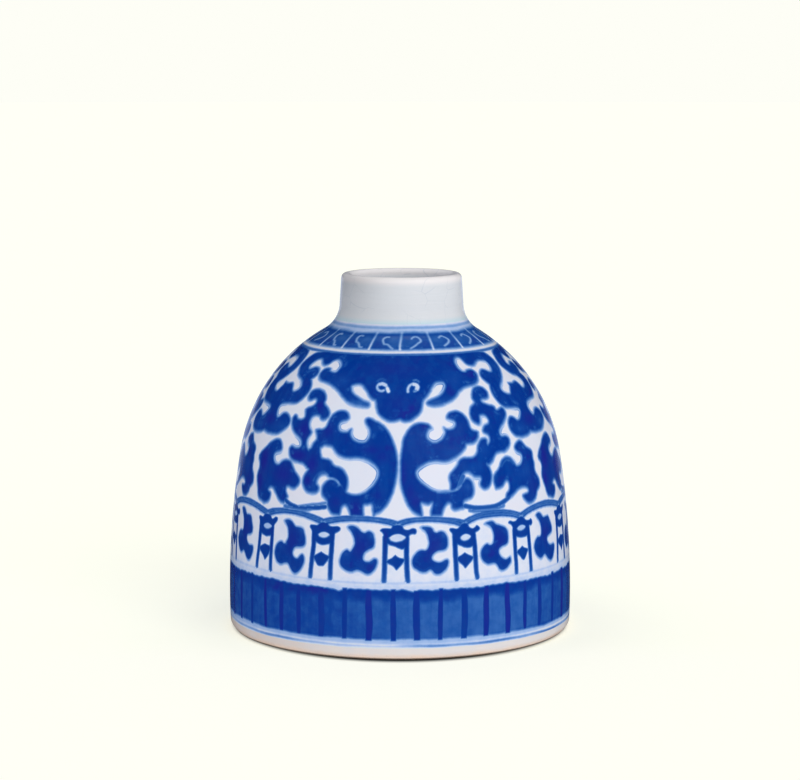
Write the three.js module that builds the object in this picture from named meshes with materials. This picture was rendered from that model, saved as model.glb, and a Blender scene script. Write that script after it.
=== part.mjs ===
// A porcelain water pot of beehive form: a straight-sided wall that closes in
// to a dome, a short upright neck with a rounded lip, a recessed base and a
// low turned foot. The potter throws the sections apart and joins them with
// slip, so each section here is its own closed body with its own joint faces.
// Millimetres, +Z up, origin at the middle of the face that the pot stands on.

import * as THREE from 'three';

// Outside form
const widestRadius = 45;
const widestHeight = 9.4;
const sideSweep = 225;
const domeHeight = 46.3;
const domeSweep = 45.8;
const neckRadius = 16.2;
const neckFillet = 8;
const neckHeight = 7.8;
const lipRadius = 15.8;

// Thicknesses
const wall = 3;
const baseThickness = 4;

// Foot
const footHeight = 3;
const treadWidth = 2.6;
const footBevel = 1.4;
const bevelInset = 1;
const seatWidth = 1.4;
const innerBevel = 0.5;

// Inside corner between the floor and the wall
const coveRadius = 6;

// Slip joints between the sections
const waistHeight = 36;
const neckSeamDrop = 4;
const lapHeight = 1.5;
const slipGap = 0.3;

// Fineness of the facets
const roundFacets = 72;
const facetError = 0.05;

// The long curve of the side, the dome tangent to it, and the hollow curve
// that carries the dome into the neck. A negative sweep is a hollow curve.
const turnAngle = Math.asin((domeHeight - widestHeight) / sideSweep);
const sideCentre = new THREE.Vector2(widestRadius - sideSweep, widestHeight);
const sweepStep = sideSweep - domeSweep;
const domeCentre = new THREE.Vector2(
  sideCentre.x + sweepStep * Math.cos(turnAngle),
  sideCentre.y + sweepStep * Math.sin(turnAngle),
);
const filletReach = domeSweep + neckFillet;
const filletAngle = Math.acos((neckRadius + neckFillet - domeCentre.x) / filletReach);
const filletCentre = new THREE.Vector2(
  neckRadius + neckFillet,
  domeCentre.y + filletReach * Math.sin(filletAngle),
);
const side = { centre: sideCentre, sweep: sideSweep };
const dome = { centre: domeCentre, sweep: domeSweep };
const fillet = { centre: filletCentre, sweep: -neckFillet };

// The neck is joined on part way down the hollow curve
const neckSeamHeight = filletCentre.y - neckSeamDrop;
const potHeight = filletCentre.y + neckHeight;

// Height at which an arc, moved in by an inset, reaches a given angle
function heightOn(arc, inset, angle) {
  return arc.centre.y + (arc.sweep - inset) * Math.sin(angle);
}

// Radius of an arc, moved in by an inset, at a given height
function radiusOn(arc, inset, height) {
  const sweep = arc.sweep - inset;
  return arc.centre.x + sweep * Math.cos(Math.asin((height - arc.centre.y) / sweep));
}

// The stretch of the wall's curve that holds a height
function arcAt(height, inset) {
  if (height <= heightOn(side, inset, turnAngle)) {
    return side;
  }
  if (height <= heightOn(dome, inset, filletAngle)) {
    return dome;
  }
  return fillet;
}

function radiusAt(height, inset) {
  return radiusOn(arcAt(height, inset), inset, height);
}

// Points of one arc between two angles, close enough for the facet error
function arcPoints(centre, sweep, start, end) {
  const widestStep = 2 * Math.acos(1 - facetError / Math.abs(sweep));
  const steps = Math.max(1, Math.ceil(Math.abs(end - start) / widestStep));
  const points = [];
  for (let i = 0; i <= steps; i += 1) {
    const angle = start + ((end - start) * i) / steps;
    const radius = centre.x + sweep * Math.cos(angle);
    const height = centre.y + sweep * Math.sin(angle);
    points.push(new THREE.Vector2(radius, height));
  }
  return points;
}

// Points of the wall's curve, from a lower height up to a higher one
function wallBetween(low, high, inset) {
  const ends = [
    { arc: side, top: heightOn(side, inset, turnAngle) },
    { arc: dome, top: heightOn(dome, inset, filletAngle) },
    { arc: fillet, top: filletCentre.y },
  ];
  const points = [];
  let from = low;
  for (const { arc, top } of ends) {
    const to = Math.min(high, top);
    if (to > from) {
      const sweep = arc.sweep - inset;
      const start = Math.asin((from - arc.centre.y) / sweep);
      const end = Math.asin((to - arc.centre.y) / sweep);
      points.push(...arcPoints(arc.centre, sweep, start, end));
      from = to;
    }
  }
  return points;
}

// Closed outline, without points that repeat the one before them
function closedProfile(points) {
  const kept = [];
  for (const point of points) {
    if (kept.length === 0 || kept[kept.length - 1].distanceTo(point) > facetError / 10) {
      kept.push(point);
    }
  }
  kept.push(kept[0].clone());
  return kept;
}

function turned(name, profile, material) {
  const geometry = new THREE.LatheGeometry(profile, roundFacets);
  geometry.rotateX(Math.PI / 2);
  const mesh = new THREE.Mesh(geometry, material);
  mesh.name = name;
  return mesh;
}

function glaze(color) {
  return new THREE.MeshStandardMaterial({ color, roughness: 0.22, metalness: 0 });
}

// The half lap of a slip joint. The lower section carries a tongue on its
// inner side, and the upper section is rebated to sit over it.
function lapRadius(height) {
  return (radiusAt(height, 0) + radiusAt(height, wall)) / 2;
}

function tongue(height) {
  return [
    new THREE.Vector2(lapRadius(height), height),
    new THREE.Vector2(lapRadius(height), height + lapHeight),
  ];
}

function rebate(height) {
  return [
    new THREE.Vector2(lapRadius(height) + slipGap, height + lapHeight),
    new THREE.Vector2(lapRadius(height) + slipGap, height),
  ];
}

// Where the wall's inner face meets the base, and the disc that fits there
const seatRadius = radiusAt(footHeight, 0) - wall;
const discRadius = seatRadius - slipGap;
const floorHeight = footHeight + baseThickness;

// The foot: a low ring with a flat tread, bevelled on both edges
function footRing() {
  const treadOuter = radiusAt(footBevel, 0) - bevelInset;
  const treadInner = treadOuter - treadWidth;
  const recessRadius = discRadius - seatWidth;
  const profile = closedProfile([
    new THREE.Vector2(treadInner, 0),
    new THREE.Vector2(treadOuter, 0),
    ...wallBetween(footBevel, footHeight, 0),
    new THREE.Vector2(recessRadius, footHeight),
    new THREE.Vector2(recessRadius, innerBevel),
  ]);
  const biscuit = new THREE.MeshStandardMaterial({
    color: 0xe0c3a2,
    roughness: 0.8,
    metalness: 0,
  });
  return turned('foot_ring', profile, biscuit);
}

// The base: a disc in the seat between the foot and the wall
function baseDisc() {
  const profile = [
    new THREE.Vector2(0, footHeight),
    new THREE.Vector2(discRadius, footHeight),
    new THREE.Vector2(discRadius, floorHeight),
    new THREE.Vector2(0, floorHeight),
  ];
  return turned('base_disc', profile, glaze(0xe3e6ee));
}

// The lower wall: upright, with a cove over the base and a tongue on top
function lowerWall() {
  const coveHeight = floorHeight + coveRadius;
  const coveCentre = new THREE.Vector2(radiusAt(coveHeight, wall) - coveRadius, coveHeight);
  const cove = arcPoints(coveCentre, coveRadius, 0, -Math.PI / 2);
  const inside = wallBetween(coveHeight, waistHeight + lapHeight, wall).reverse();
  const profile = closedProfile([
    ...wallBetween(footHeight, waistHeight, 0),
    ...tongue(waistHeight),
    ...inside,
    ...cove,
    new THREE.Vector2(seatRadius, floorHeight),
    new THREE.Vector2(seatRadius, footHeight),
  ]);
  return turned('lower_wall', profile, glaze(0x5c7fc2));
}

// The dome wall: it closes in over the waist joint to the neck's seam
function domeWall() {
  const inside = wallBetween(waistHeight + lapHeight, neckSeamHeight + lapHeight, wall);
  const profile = closedProfile([
    ...wallBetween(waistHeight, neckSeamHeight, 0),
    ...tongue(neckSeamHeight),
    ...inside.reverse(),
    ...rebate(waistHeight),
  ]);
  return turned('dome_wall', profile, glaze(0x4b6fbc));
}

// The neck: set over the dome's tongue, and rounded over at the lip
function neckCollar() {
  const mouthRadius = neckRadius - wall;
  const lipRound = (lipRadius - mouthRadius) / 2;
  const lipCentre = new THREE.Vector2(mouthRadius + lipRound, potHeight - lipRound);
  const inside = wallBetween(neckSeamHeight + lapHeight, filletCentre.y, wall);
  const profile = closedProfile([
    ...wallBetween(neckSeamHeight, filletCentre.y, 0),
    ...arcPoints(lipCentre, lipRound, 0, Math.PI),
    ...inside.reverse(),
    ...rebate(neckSeamHeight),
  ]);
  return turned('neck_collar', profile, glaze(0xdde1e7));
}

const group = new THREE.Group();
group.name = 'water_pot';
group.add(footRing());
group.add(baseDisc());
group.add(lowerWall());
group.add(domeWall());
group.add(neckCollar());

export default group;
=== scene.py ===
import math

import bpy
import numpy as np
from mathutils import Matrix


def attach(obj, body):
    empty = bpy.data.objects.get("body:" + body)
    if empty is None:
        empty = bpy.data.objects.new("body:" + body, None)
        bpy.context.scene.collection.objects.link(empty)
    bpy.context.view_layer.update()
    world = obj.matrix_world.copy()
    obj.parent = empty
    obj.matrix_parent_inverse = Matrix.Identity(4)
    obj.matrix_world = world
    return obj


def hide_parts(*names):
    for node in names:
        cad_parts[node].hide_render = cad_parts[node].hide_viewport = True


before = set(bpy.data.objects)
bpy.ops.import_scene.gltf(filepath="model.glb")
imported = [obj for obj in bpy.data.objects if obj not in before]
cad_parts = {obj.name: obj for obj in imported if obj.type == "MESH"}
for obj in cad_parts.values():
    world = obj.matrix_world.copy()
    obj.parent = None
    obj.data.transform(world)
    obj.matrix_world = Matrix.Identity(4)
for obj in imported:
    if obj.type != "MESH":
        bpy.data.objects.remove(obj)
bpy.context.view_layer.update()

# Porcelain water pot of beehive form, painted in underglaze blue. Lengths below are in
# millimetres and angles in degrees: "turn" runs round the pot from the middle of the mask
# towards the viewer's right, and "run" climbs the outside of the wall from the foot.
mm = 0.001
scene = bpy.context.scene
print("frame loaded")


def pigment(red, green, blue):
    tones = [part / 255 for part in (red, green, blue)]
    linear = [t / 12.92 if t <= 0.04045 else ((t + 0.055) / 1.055) ** 2.4 for t in tones]
    return (*linear, 1.0)


# The pot's profile: the same arcs as its solids
form = {
    "widestRadius": 45.0,
    "widestHeight": 9.4,
    "sideSweep": 225.0,
    "domeHeight": 46.3,
    "domeSweep": 45.8,
    "neckRadius": 16.2,
    "neckFillet": 8.0,
    "neckHeight": 7.8,
    "lipRadius": 15.8,
    "wall": 3.0,
    "footHeight": 3.0,
    "floorHeight": 7.0,
    "treadWidth": 2.6,
    "footBevel": 1.4,
    "bevelInset": 1.0,
    "seatWidth": 1.4,
    "innerBevel": 0.5,
    "slipGap": 0.3,
    "coveRadius": 6.0,
    "neckSeamDrop": 4.0,
}
turnAngle = math.asin((form["domeHeight"] - form["widestHeight"]) / form["sideSweep"])
sweepStep = form["sideSweep"] - form["domeSweep"]
sideArc = (form["widestRadius"] - form["sideSweep"], form["widestHeight"], form["sideSweep"])
domeArc = (
    sideArc[0] + sweepStep * math.cos(turnAngle),
    sideArc[1] + sweepStep * math.sin(turnAngle),
    form["domeSweep"],
)
filletReach = form["domeSweep"] + form["neckFillet"]
filletAngle = math.acos((form["neckRadius"] + form["neckFillet"] - domeArc[0]) / filletReach)
filletArc = (
    form["neckRadius"] + form["neckFillet"],
    domeArc[1] + filletReach * math.sin(filletAngle),
    -form["neckFillet"],
)
neckSeam = filletArc[1] - form["neckSeamDrop"]
potHeight = filletArc[1] + form["neckHeight"]
lipRound = (form["lipRadius"] - form["neckRadius"] + form["wall"]) / 2
lipHeight = potHeight - lipRound


def radiusAt(height, inset=0.0):
    arc = filletArc
    if height <= sideArc[1] + (sideArc[2] - inset) * math.sin(turnAngle):
        arc = sideArc
    elif height <= domeArc[1] + (domeArc[2] - inset) * math.sin(filletAngle):
        arc = domeArc
    sweep = arc[2] - inset
    lift = min(1.0, max(-1.0, (height - arc[1]) / sweep))
    if height >= filletArc[1]:
        share = min(1.0, (height - filletArc[1]) / (lipHeight - filletArc[1]))
        narrowing = (form["neckRadius"] - form["lipRadius"]) * share if inset == 0 else 0.0
        return form["neckRadius"] - inset - narrowing
    return arc[0] + sweep * math.cos(math.asin(lift))


# how far up the wall each height lies
tableSteps = 3000
heightTable = np.linspace(0.0, lipHeight, tableSteps)
radiusTable = np.array([radiusAt(height) for height in heightTable])
stepTable = np.hypot(np.diff(heightTable), np.diff(radiusTable))
runTable = np.concatenate([[0.0], np.cumsum(stepTable)])


def runOf(height):
    return np.interp(height, heightTable, runTable)


def heightOf(run):
    return np.interp(run, runTable, heightTable)


def wallPoints(low, high, inset, spacing):
    start, end = float(runOf(low)), float(runOf(high))
    steps = max(2, int(round((end - start) / spacing)))
    heights = [float(heightOf(start + (end - start) * i / steps)) for i in range(steps + 1)]
    heights[0], heights[-1] = low, high
    return [(radiusAt(height, inset), height) for height in heights]


def arcPoints(centre, sweep, start, end, steps):
    angles = np.radians(np.linspace(start, end, steps + 1))
    return [(centre[0] + sweep * math.cos(a), centre[1] + sweep * math.sin(a)) for a in angles]


def softCorner(before, corner, after, size, steps=4):
    ends = []
    for other in (before, after):
        reach = math.dist(corner, other)
        share = min(size, 0.45 * reach) / reach  # never as far as half way
        ends.append([c + (o - c) * share for c, o in zip(corner, other)])
    points = []
    for i in range(steps + 1):
        t = i / steps
        weights = ((1 - t) ** 2, 2 * t * (1 - t), t * t)
        parts = zip(ends[0], corner, ends[1])
        points.append(tuple(weights[0] * a + weights[1] * c + weights[2] * b for a, c, b in parts))
    return points


# One sheet of nodes, for shaders and for geometry
class Value:
    def __init__(self, sheet, socket):
        self.sheet = sheet
        self.socket = socket

    def maths(self, operation, *others):
        inputs = dict(enumerate((self, *others)))
        return self.sheet.add("ShaderNodeMath", {"operation": operation}, inputs)

    def __add__(self, other):
        return self.maths("ADD", other)

    def __radd__(self, other):
        return self.maths("ADD", other)

    def __sub__(self, other):
        return self.maths("SUBTRACT", other)

    def __rsub__(self, other):
        return self.sheet.add("ShaderNodeMath", {"operation": "SUBTRACT"}, {0: other, 1: self})

    def __mul__(self, other):
        return self.maths("MULTIPLY", other)

    def __rmul__(self, other):
        return self.maths("MULTIPLY", other)

    def __truediv__(self, other):
        return self.maths("DIVIDE", other)

    def __rtruediv__(self, other):
        return self.sheet.add("ShaderNodeMath", {"operation": "DIVIDE"}, {0: other, 1: self})


class NodeSheet:
    def __init__(self, tree):
        self.tree = tree

    def add(self, kind, settings=None, inputs=None, output=0):
        node = self.tree.nodes.new(kind)
        for name, setting in (settings or {}).items():
            if name == "stops":
                stops = node.color_ramp.elements
                while len(stops) < len(setting):
                    stops.new(1.0)
                for stop, (place, colour) in zip(stops, setting):
                    stop.position, stop.color = place, colour
            else:
                setattr(node, name, setting)
        for key, given in (inputs or {}).items():
            socket = node.inputs[key]
            if isinstance(given, Value):
                self.tree.links.new(given.socket, socket)
            else:
                socket.default_value = given
        return Value(self, node.outputs[output]) if node.outputs else node

    def split(self, vector):
        node = self.add("ShaderNodeSeparateXYZ", {}, {0: vector}).socket.node
        return [Value(self, socket) for socket in node.outputs]

    def rise(self, value, low, high):
        settings = {"interpolation_type": "SMOOTHSTEP"}
        return self.add("ShaderNodeMapRange", settings, {0: value, 1: low, 2: high})

    def level(self, value, low, high, first, last):
        return self.add("ShaderNodeMapRange", {}, {0: value, 1: low, 2: high, 3: first, 4: last})

    def blend(self, factor, under, over):
        settings = {"data_type": "RGBA"}
        inputs = {0: factor, 6: under, 7: over}
        return self.add("ShaderNodeMix", settings, inputs, output=2)

    def noise(self, vector, scale, detail=2.0, roughness=0.5):
        inputs = {"Vector": vector, "Scale": scale, "Detail": detail, "Roughness": roughness}
        return self.add("ShaderNodeTexNoise", {}, inputs)


# The lathe: turns a profile into a section, with the unevenness of a thrown pot
lathe = {
    "facets": 960,
    "unevenness": 0.09,
    "unevenScale": 55.0,
    "unevenSeed": 3.0,
    "neckLean": 0.4,
    "leanStart": 72.0,
    "leanEnd": 84.0,
    "weld": 0.0005,
    "sharpFrom": 40.0,  # degrees between two faces
}


def buildLathe():
    tree = bpy.data.node_groups.new("potLathe", "GeometryNodeTree")
    face = tree.interface
    sockets = {}
    kinds = [
        ("Profile", "NodeSocketGeometry"),
        ("Facets", "NodeSocketInt"),
        ("Closed", "NodeSocketInt"),
        ("Unevenness", "NodeSocketFloat"),
        ("Uneven Scale", "NodeSocketFloat"),
        ("Uneven Seed", "NodeSocketFloat"),
        ("Neck Lean", "NodeSocketFloat"),
        ("Lean Start", "NodeSocketFloat"),
        ("Lean End", "NodeSocketFloat"),
        ("Glaze", "NodeSocketMaterial"),
    ]
    for name, kind in kinds:
        sockets[name] = face.new_socket(name=name, in_out="INPUT", socket_type=kind).identifier
    face.new_socket(name="Section", in_out="OUTPUT", socket_type="NodeSocketGeometry")
    sheet = NodeSheet(tree)
    given = tree.nodes.new("NodeGroupInput")
    ask = {name: Value(sheet, given.outputs[name]) for name, kind in kinds}
    count = sheet.add(
        "GeometryNodeAttributeDomainSize", {"component": "MESH"}, {"Geometry": ask["Profile"]}
    )
    rows = count + ask["Closed"]
    size = {"Vertices X": ask["Facets"] + 1, "Vertices Y": rows}
    grid = sheet.add("GeometryNodeMeshGrid", {}, size)
    layout = Value(sheet, grid.socket.node.outputs["UV Map"])
    index = sheet.add("GeometryNodeInputIndex")
    column = (index / rows + 0.00001).maths("FLOOR")  # past any rounding
    row = index - column * rows
    onProfile = row.maths("MODULO", count)
    place = sheet.add(
        "GeometryNodeSampleIndex",
        {"data_type": "FLOAT_VECTOR"},
        {"Geometry": ask["Profile"], "Value": sheet.add("GeometryNodeInputPosition")},
    )
    sheet.tree.links.new(onProfile.socket, place.socket.node.inputs["Index"])
    radius, _, height = sheet.split(place)
    turn = column.maths("MODULO", ask["Facets"]) * math.tau / ask["Facets"]
    east, north = turn.maths("SINE"), 0.0 - turn.maths("COSINE")
    spot = sheet.add("ShaderNodeCombineXYZ", {}, {0: radius * east, 1: radius * north, 2: height})
    uneven = {"Vector": spot, "W": ask["Uneven Seed"], "Scale": ask["Uneven Scale"], "Detail": 1.0}
    swell = sheet.add("ShaderNodeTexNoise", {"noise_dimensions": "4D"}, uneven)
    thrown = radius - ask["Unevenness"] * swell
    lean = sheet.rise(height, ask["Lean Start"], ask["Lean End"]) * ask["Neck Lean"]
    moved = {0: thrown * east + lean, 1: thrown * north, 2: height}
    moved = sheet.add("ShaderNodeCombineXYZ", {}, moved)
    flow = sheet.add(
        "GeometryNodeStoreNamedAttribute",
        {"data_type": "FLOAT2", "domain": "CORNER"},
        {"Geometry": grid, "Name": "layout", "Value": layout},
    )
    flow = sheet.add("GeometryNodeSetPosition", {}, {"Geometry": flow, "Position": moved})
    weld = {"Geometry": flow, "Distance": lathe["weld"] * mm}
    flow = sheet.add("GeometryNodeMergeByDistance", {}, weld)
    flow = sheet.add("GeometryNodeSetShadeSmooth", {}, {"Geometry": flow})
    flow = sheet.add("GeometryNodeRealizeInstances", {}, {"Geometry": flow})
    flow = sheet.add("GeometryNodeSetMaterial", {}, {"Geometry": flow, "Material": ask["Glaze"]})
    sheet.add("NodeGroupOutput", {}, {0: flow})
    return tree, sockets


latheTree, latheSockets = buildLathe()


def throwSection(name, profile, glaze, closed=True):
    base = bpy.data.meshes.new(name + "Profile")
    base.from_pydata([(r * mm, 0.0, z * mm) for r, z in profile], [], [])
    thing = bpy.data.objects.new(name + "Profile", base)
    scene.collection.objects.link(thing)
    wheel = thing.modifiers.new("wheel", "NODES")
    wheel.node_group = latheTree
    settings = {
        "Facets": lathe["facets"],
        "Closed": int(closed),
        "Unevenness": lathe["unevenness"] * mm,
        "Uneven Scale": lathe["unevenScale"],
        "Uneven Seed": lathe["unevenSeed"],
        "Neck Lean": lathe["neckLean"] * mm,
        "Lean Start": lathe["leanStart"] * mm,
        "Lean End": lathe["leanEnd"] * mm,
        "Glaze": glaze,
    }
    for key, setting in settings.items():
        wheel[latheSockets[key]] = setting
    shaped = thing.evaluated_get(bpy.context.evaluated_depsgraph_get())
    mesh = bpy.data.meshes.new_from_object(shaped)
    mesh.name = name
    bpy.data.objects.remove(thing)
    piece = bpy.data.objects.new(name, mesh)
    scene.collection.objects.link(piece)
    mesh.set_sharp_from_angle(angle=math.radians(lathe["sharpFrom"]))
    return piece


def layOutStrips(piece, profile, outerRows, strips, outerShare, closed=True):
    # strips of the outside, stacked over one low strip for the inside and the joint faces
    edge, gap = 0.004, 0.012  # left free round the sheet, and round each strip
    mesh = piece.data
    layer = mesh.attributes["layout"]
    flat = np.empty(len(layer.data) * 2)
    layer.data.foreach_get("vector", flat)
    flat = flat.reshape(-1, 2)
    rows = len(profile) if closed else len(profile) - 1
    sizes = np.empty(len(mesh.polygons), dtype=int)
    mesh.polygons.foreach_get("loop_total", sizes)
    faceOf = np.repeat(np.arange(len(sizes)), sizes)
    middle = np.stack([np.bincount(faceOf, flat[:, k]) / sizes for k in (0, 1)], axis=1)
    around, along = flat[:, 0], flat[:, 1] * rows
    outside = (middle[:, 1] * rows < outerRows)[faceOf]
    strip = np.minimum(np.floor(middle[:, 0] * strips), strips - 1)[faceOf]
    inStrip = np.clip(along / outerRows, 0, 1) * (1 - 2 * gap) + gap
    upper = (strip + inStrip) / strips
    lower = (along - outerRows) / (rows - outerRows)
    u = np.where(outside, around * strips - strip, around)
    v = np.where(outside, (1 - outerShare) + outerShare * upper, (1 - outerShare - gap) * lower)
    mesh.attributes.remove(layer)
    target = mesh.uv_layers.new(name="OFBake")
    target.data.foreach_set("uv", (edge + np.stack([u, v], axis=1) * (1 - 2 * edge)).ravel())


# Brush work: outlines and strokes as signed distances in millimetres, above zero in the paint
brush = {
    "farOut": -9.0,  # the distance where nothing is painted near
    "skin": 1.0,  # depth of the wall that counts as its outside
    "reach": 3.0,  # how far round an outline its distance is worked out
    "strokeReach": 2.0,
    "steepness": 1.22,
    "runsDown": 0.30,  # how much softer the lower edges are
    "overlap": 14.0,  # degrees that a shape may reach past its own sector
    "hand": 0.35,  # degrees that the repeats behind sway from the front one
    "cuts": 5,  # of a brush line between two of its points
    "atOnce": 3000,  # vertices
}
# where the patterns stand: the sectors' first turns and widths, and the front one's own
thirds = {"sectors": [(-60, 120), (60, 120), (180, 120)], "first": -60, "own": 120}
frieze = {"sectors": [(-60, 117.3), (57.3, 121.35), (178.65, 121.35)], "first": -60, "own": 117.3}


def smoothRun(points):
    # a brush line through given points (Catmull-Rom)
    p = np.array(points, dtype=float)
    if len(p) < 3:
        return p
    q = np.vstack([2 * p[0] - p[1], p, 2 * p[-1] - p[-2]])
    made = []
    for i in range(1, len(q) - 2):
        a, b, c, d = q[i - 1:i + 3]
        for k in range(brush["cuts"]):
            t = k / brush["cuts"]
            bend = (2 * a - 5 * b + 4 * c - d) * t * t + (3 * b - 3 * c + d - a) * t ** 3
            made.append(0.5 * (2 * b + (c - a) * t + bend))
    made.append(q[-2])
    return np.array(made)


class Canvas:
    # where a section's vertices lie on the unrolled wall, and the paint fields there
    def __init__(self, piece):
        self.piece = piece
        mesh = piece.data
        places = np.empty(len(mesh.vertices) * 3)
        mesh.vertices.foreach_get("co", places)
        x, y, height = places.reshape(-1, 3).T / mm
        start, end = lathe["leanStart"], lathe["leanEnd"]
        lift = np.clip((height - start) / (end - start), 0, 1)
        x = x - lathe["neckLean"] * lift * lift * (3 - 2 * lift)
        self.turn = np.degrees(np.arctan2(x, -y))
        self.run = runOf(height)
        outer = np.interp(height, heightTable, radiusTable)
        self.outside = np.hypot(x, y) > outer - brush["skin"]
        self.perDegree = outer * math.pi / 180
        self.fields = {}
        for name in ("cobalt", "soft", "line", "pale"):
            self.field(name)
            self.field(name + "Load", 1.0)
        for name in ("tone", "violet", "keyline", "stain"):
            self.field(name, 0.0)
        self.fields["run"] = self.run

    def field(self, name, start=brush["farOut"]):
        if name not in self.fields:
            self.fields[name] = np.full(len(self.turn), start)
        return self.fields[name]

    def sectors(self, band):
        # each repeat of a pattern: the turns in it, stretched to the front one's width
        overlap = brush["overlap"]
        for start, width in band["sectors"]:
            u = (self.turn - start + overlap) % 360 - overlap
            inside = (u > 1 - overlap) & (u < width + overlap - 1)
            yield start, band["first"] + u * band["own"] / width, inside, width / band["own"]

    def drift(self, start, turn, band):
        # the painter's hand: the repeats behind aren't quite the front one again
        if start == band["first"]:
            return turn
        return turn + brush["hand"] * np.sin(start + turn * 0.11 + self.run * 0.13)

    def reach(self, turn, valid, stretch, line, closed, margin):
        # signed distance to a line or outline, for the vertices near it
        low, high = line.min(0), line.max(0)
        k = self.perDegree * stretch
        near = valid & self.outside
        near &= (turn > low[0] - margin / k) & (turn < high[0] + margin / k)
        near &= (self.run > low[1] - margin) & (self.run < high[1] + margin)
        chosen = np.flatnonzero(near)
        found = np.full(len(chosen), brush["farOut"])
        a, b = line, np.roll(line, -1, axis=0)
        if not closed:
            a, b = a[:-1], b[:-1]
        for first in range(0, len(chosen), brush["atOnce"]):
            part = chosen[first:first + brush["atOnce"]]
            scale = k[part][:, None]
            px = turn[part][:, None]
            py = self.run[part][:, None]
            ax, bx = (a[:, 0] - px) * scale, (b[:, 0] - px) * scale
            ay, by = a[:, 1] - py, b[:, 1] - py
            dx, dy = bx - ax, by - ay
            size = np.maximum(dx * dx + dy * dy, 1e-12)
            t = np.clip(-(ax * dx + ay * dy) / size, 0, 1)
            gaps = (ax + t * dx) ** 2 + (ay + t * dy) ** 2
            nearest = gaps.argmin(1)
            rows = np.arange(len(part))
            away = np.sqrt(gaps[rows, nearest])
            if closed:
                crosses = (ay > 0) != (by > 0)
                flip = crosses & ((ax + (0 - ay) * dx / np.where(crosses, dy, 1.0)) > 0)
                inside = flip.sum(1) % 2 == 1
                # in the fire the blue runs a little: upper edges stay crisp, lower ones go soft
                climb = (ay + t * dy)[rows, nearest] / np.maximum(away, 1e-6)
                lower = np.maximum(np.where(inside, -climb, climb), 0)
                away = np.where(inside, away, -away)
                away = away * (brush["steepness"] - brush["runsDown"] * lower)
            else:
                away = -away
            found[first:first + brush["atOnce"]] = away
        return chosen, found

    def lay(self, name, chosen, away, load):
        # the nearest stroke of a kind also says how much pigment it carries
        target, loads = self.field(name), self.field(name + "Load", 1.0)
        chosen = np.arange(len(self.turn))[chosen]
        nearer = away > target[chosen]
        target[chosen[nearer]] = away[nearer]
        loads[chosen[nearer]] = np.broadcast_to(load, len(chosen))[nearer]

    def fill(self, name, runs, band, load=1.0, inset=0.0):
        line = np.vstack([smoothRun(run) for run in runs])
        for start, turn, valid, stretch in self.sectors(band):
            turn = self.drift(start, turn, band)
            chosen, away = self.reach(turn, valid, stretch, line, True, brush["reach"])
            self.lay(name, chosen, away - inset, load)

    def stroke(self, name, points, band, width, load=1.0):
        line = smoothRun(points)
        margin = width + brush["strokeReach"]
        for start, turn, valid, stretch in self.sectors(band):
            turn = self.drift(start, turn, band)
            chosen, away = self.reach(turn, valid, stretch, line, False, margin)
            # a load may change up the stroke: run heights, and the load at each
            here = np.interp(self.run[chosen], *load) if isinstance(load, tuple) else load
            self.lay(name, chosen, away + width / 2, here)

    def spot(self, name, place, band):
        middle, run, width, height, weight = place
        target = self.field(name, 0.0)
        for _, turn, valid, _ in self.sectors(band):
            fall = np.exp(-(((turn - middle) / width) ** 2) - ((self.run - run) / height) ** 2)
            target[:] = np.maximum(target, np.where(valid & self.outside, weight * fall, 0.0))

    def layRound(self, name, away, load):
        # paint given for the whole outside at once
        loads = np.broadcast_to(load, len(self.turn))[self.outside]
        self.lay(name, self.outside, away[self.outside], loads)

    def ring(self, run, half, load):
        self.layRound("line", half - np.abs(self.run - run), load)

    def waver(self, waves):
        # a hand's small waves on the way round: how high, how many, where they start
        turn = np.radians(self.turn)
        return sum(high * np.sin(turn * count + first) for high, count, first in waves)

    def stain(self, runs, weights):
        # a faint blue cast over the ground, by how far up the wall it lies
        target = self.field("stain", 0.0)
        cast = np.maximum(target, np.interp(self.run, runs, weights))
        target[self.outside] = cast[self.outside]

    def store(self):
        for name, values in self.fields.items():
            layer = self.piece.data.attributes.new(name, "FLOAT", "POINT")
            layer.data.foreach_set("value", values.astype(np.float32))


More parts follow.
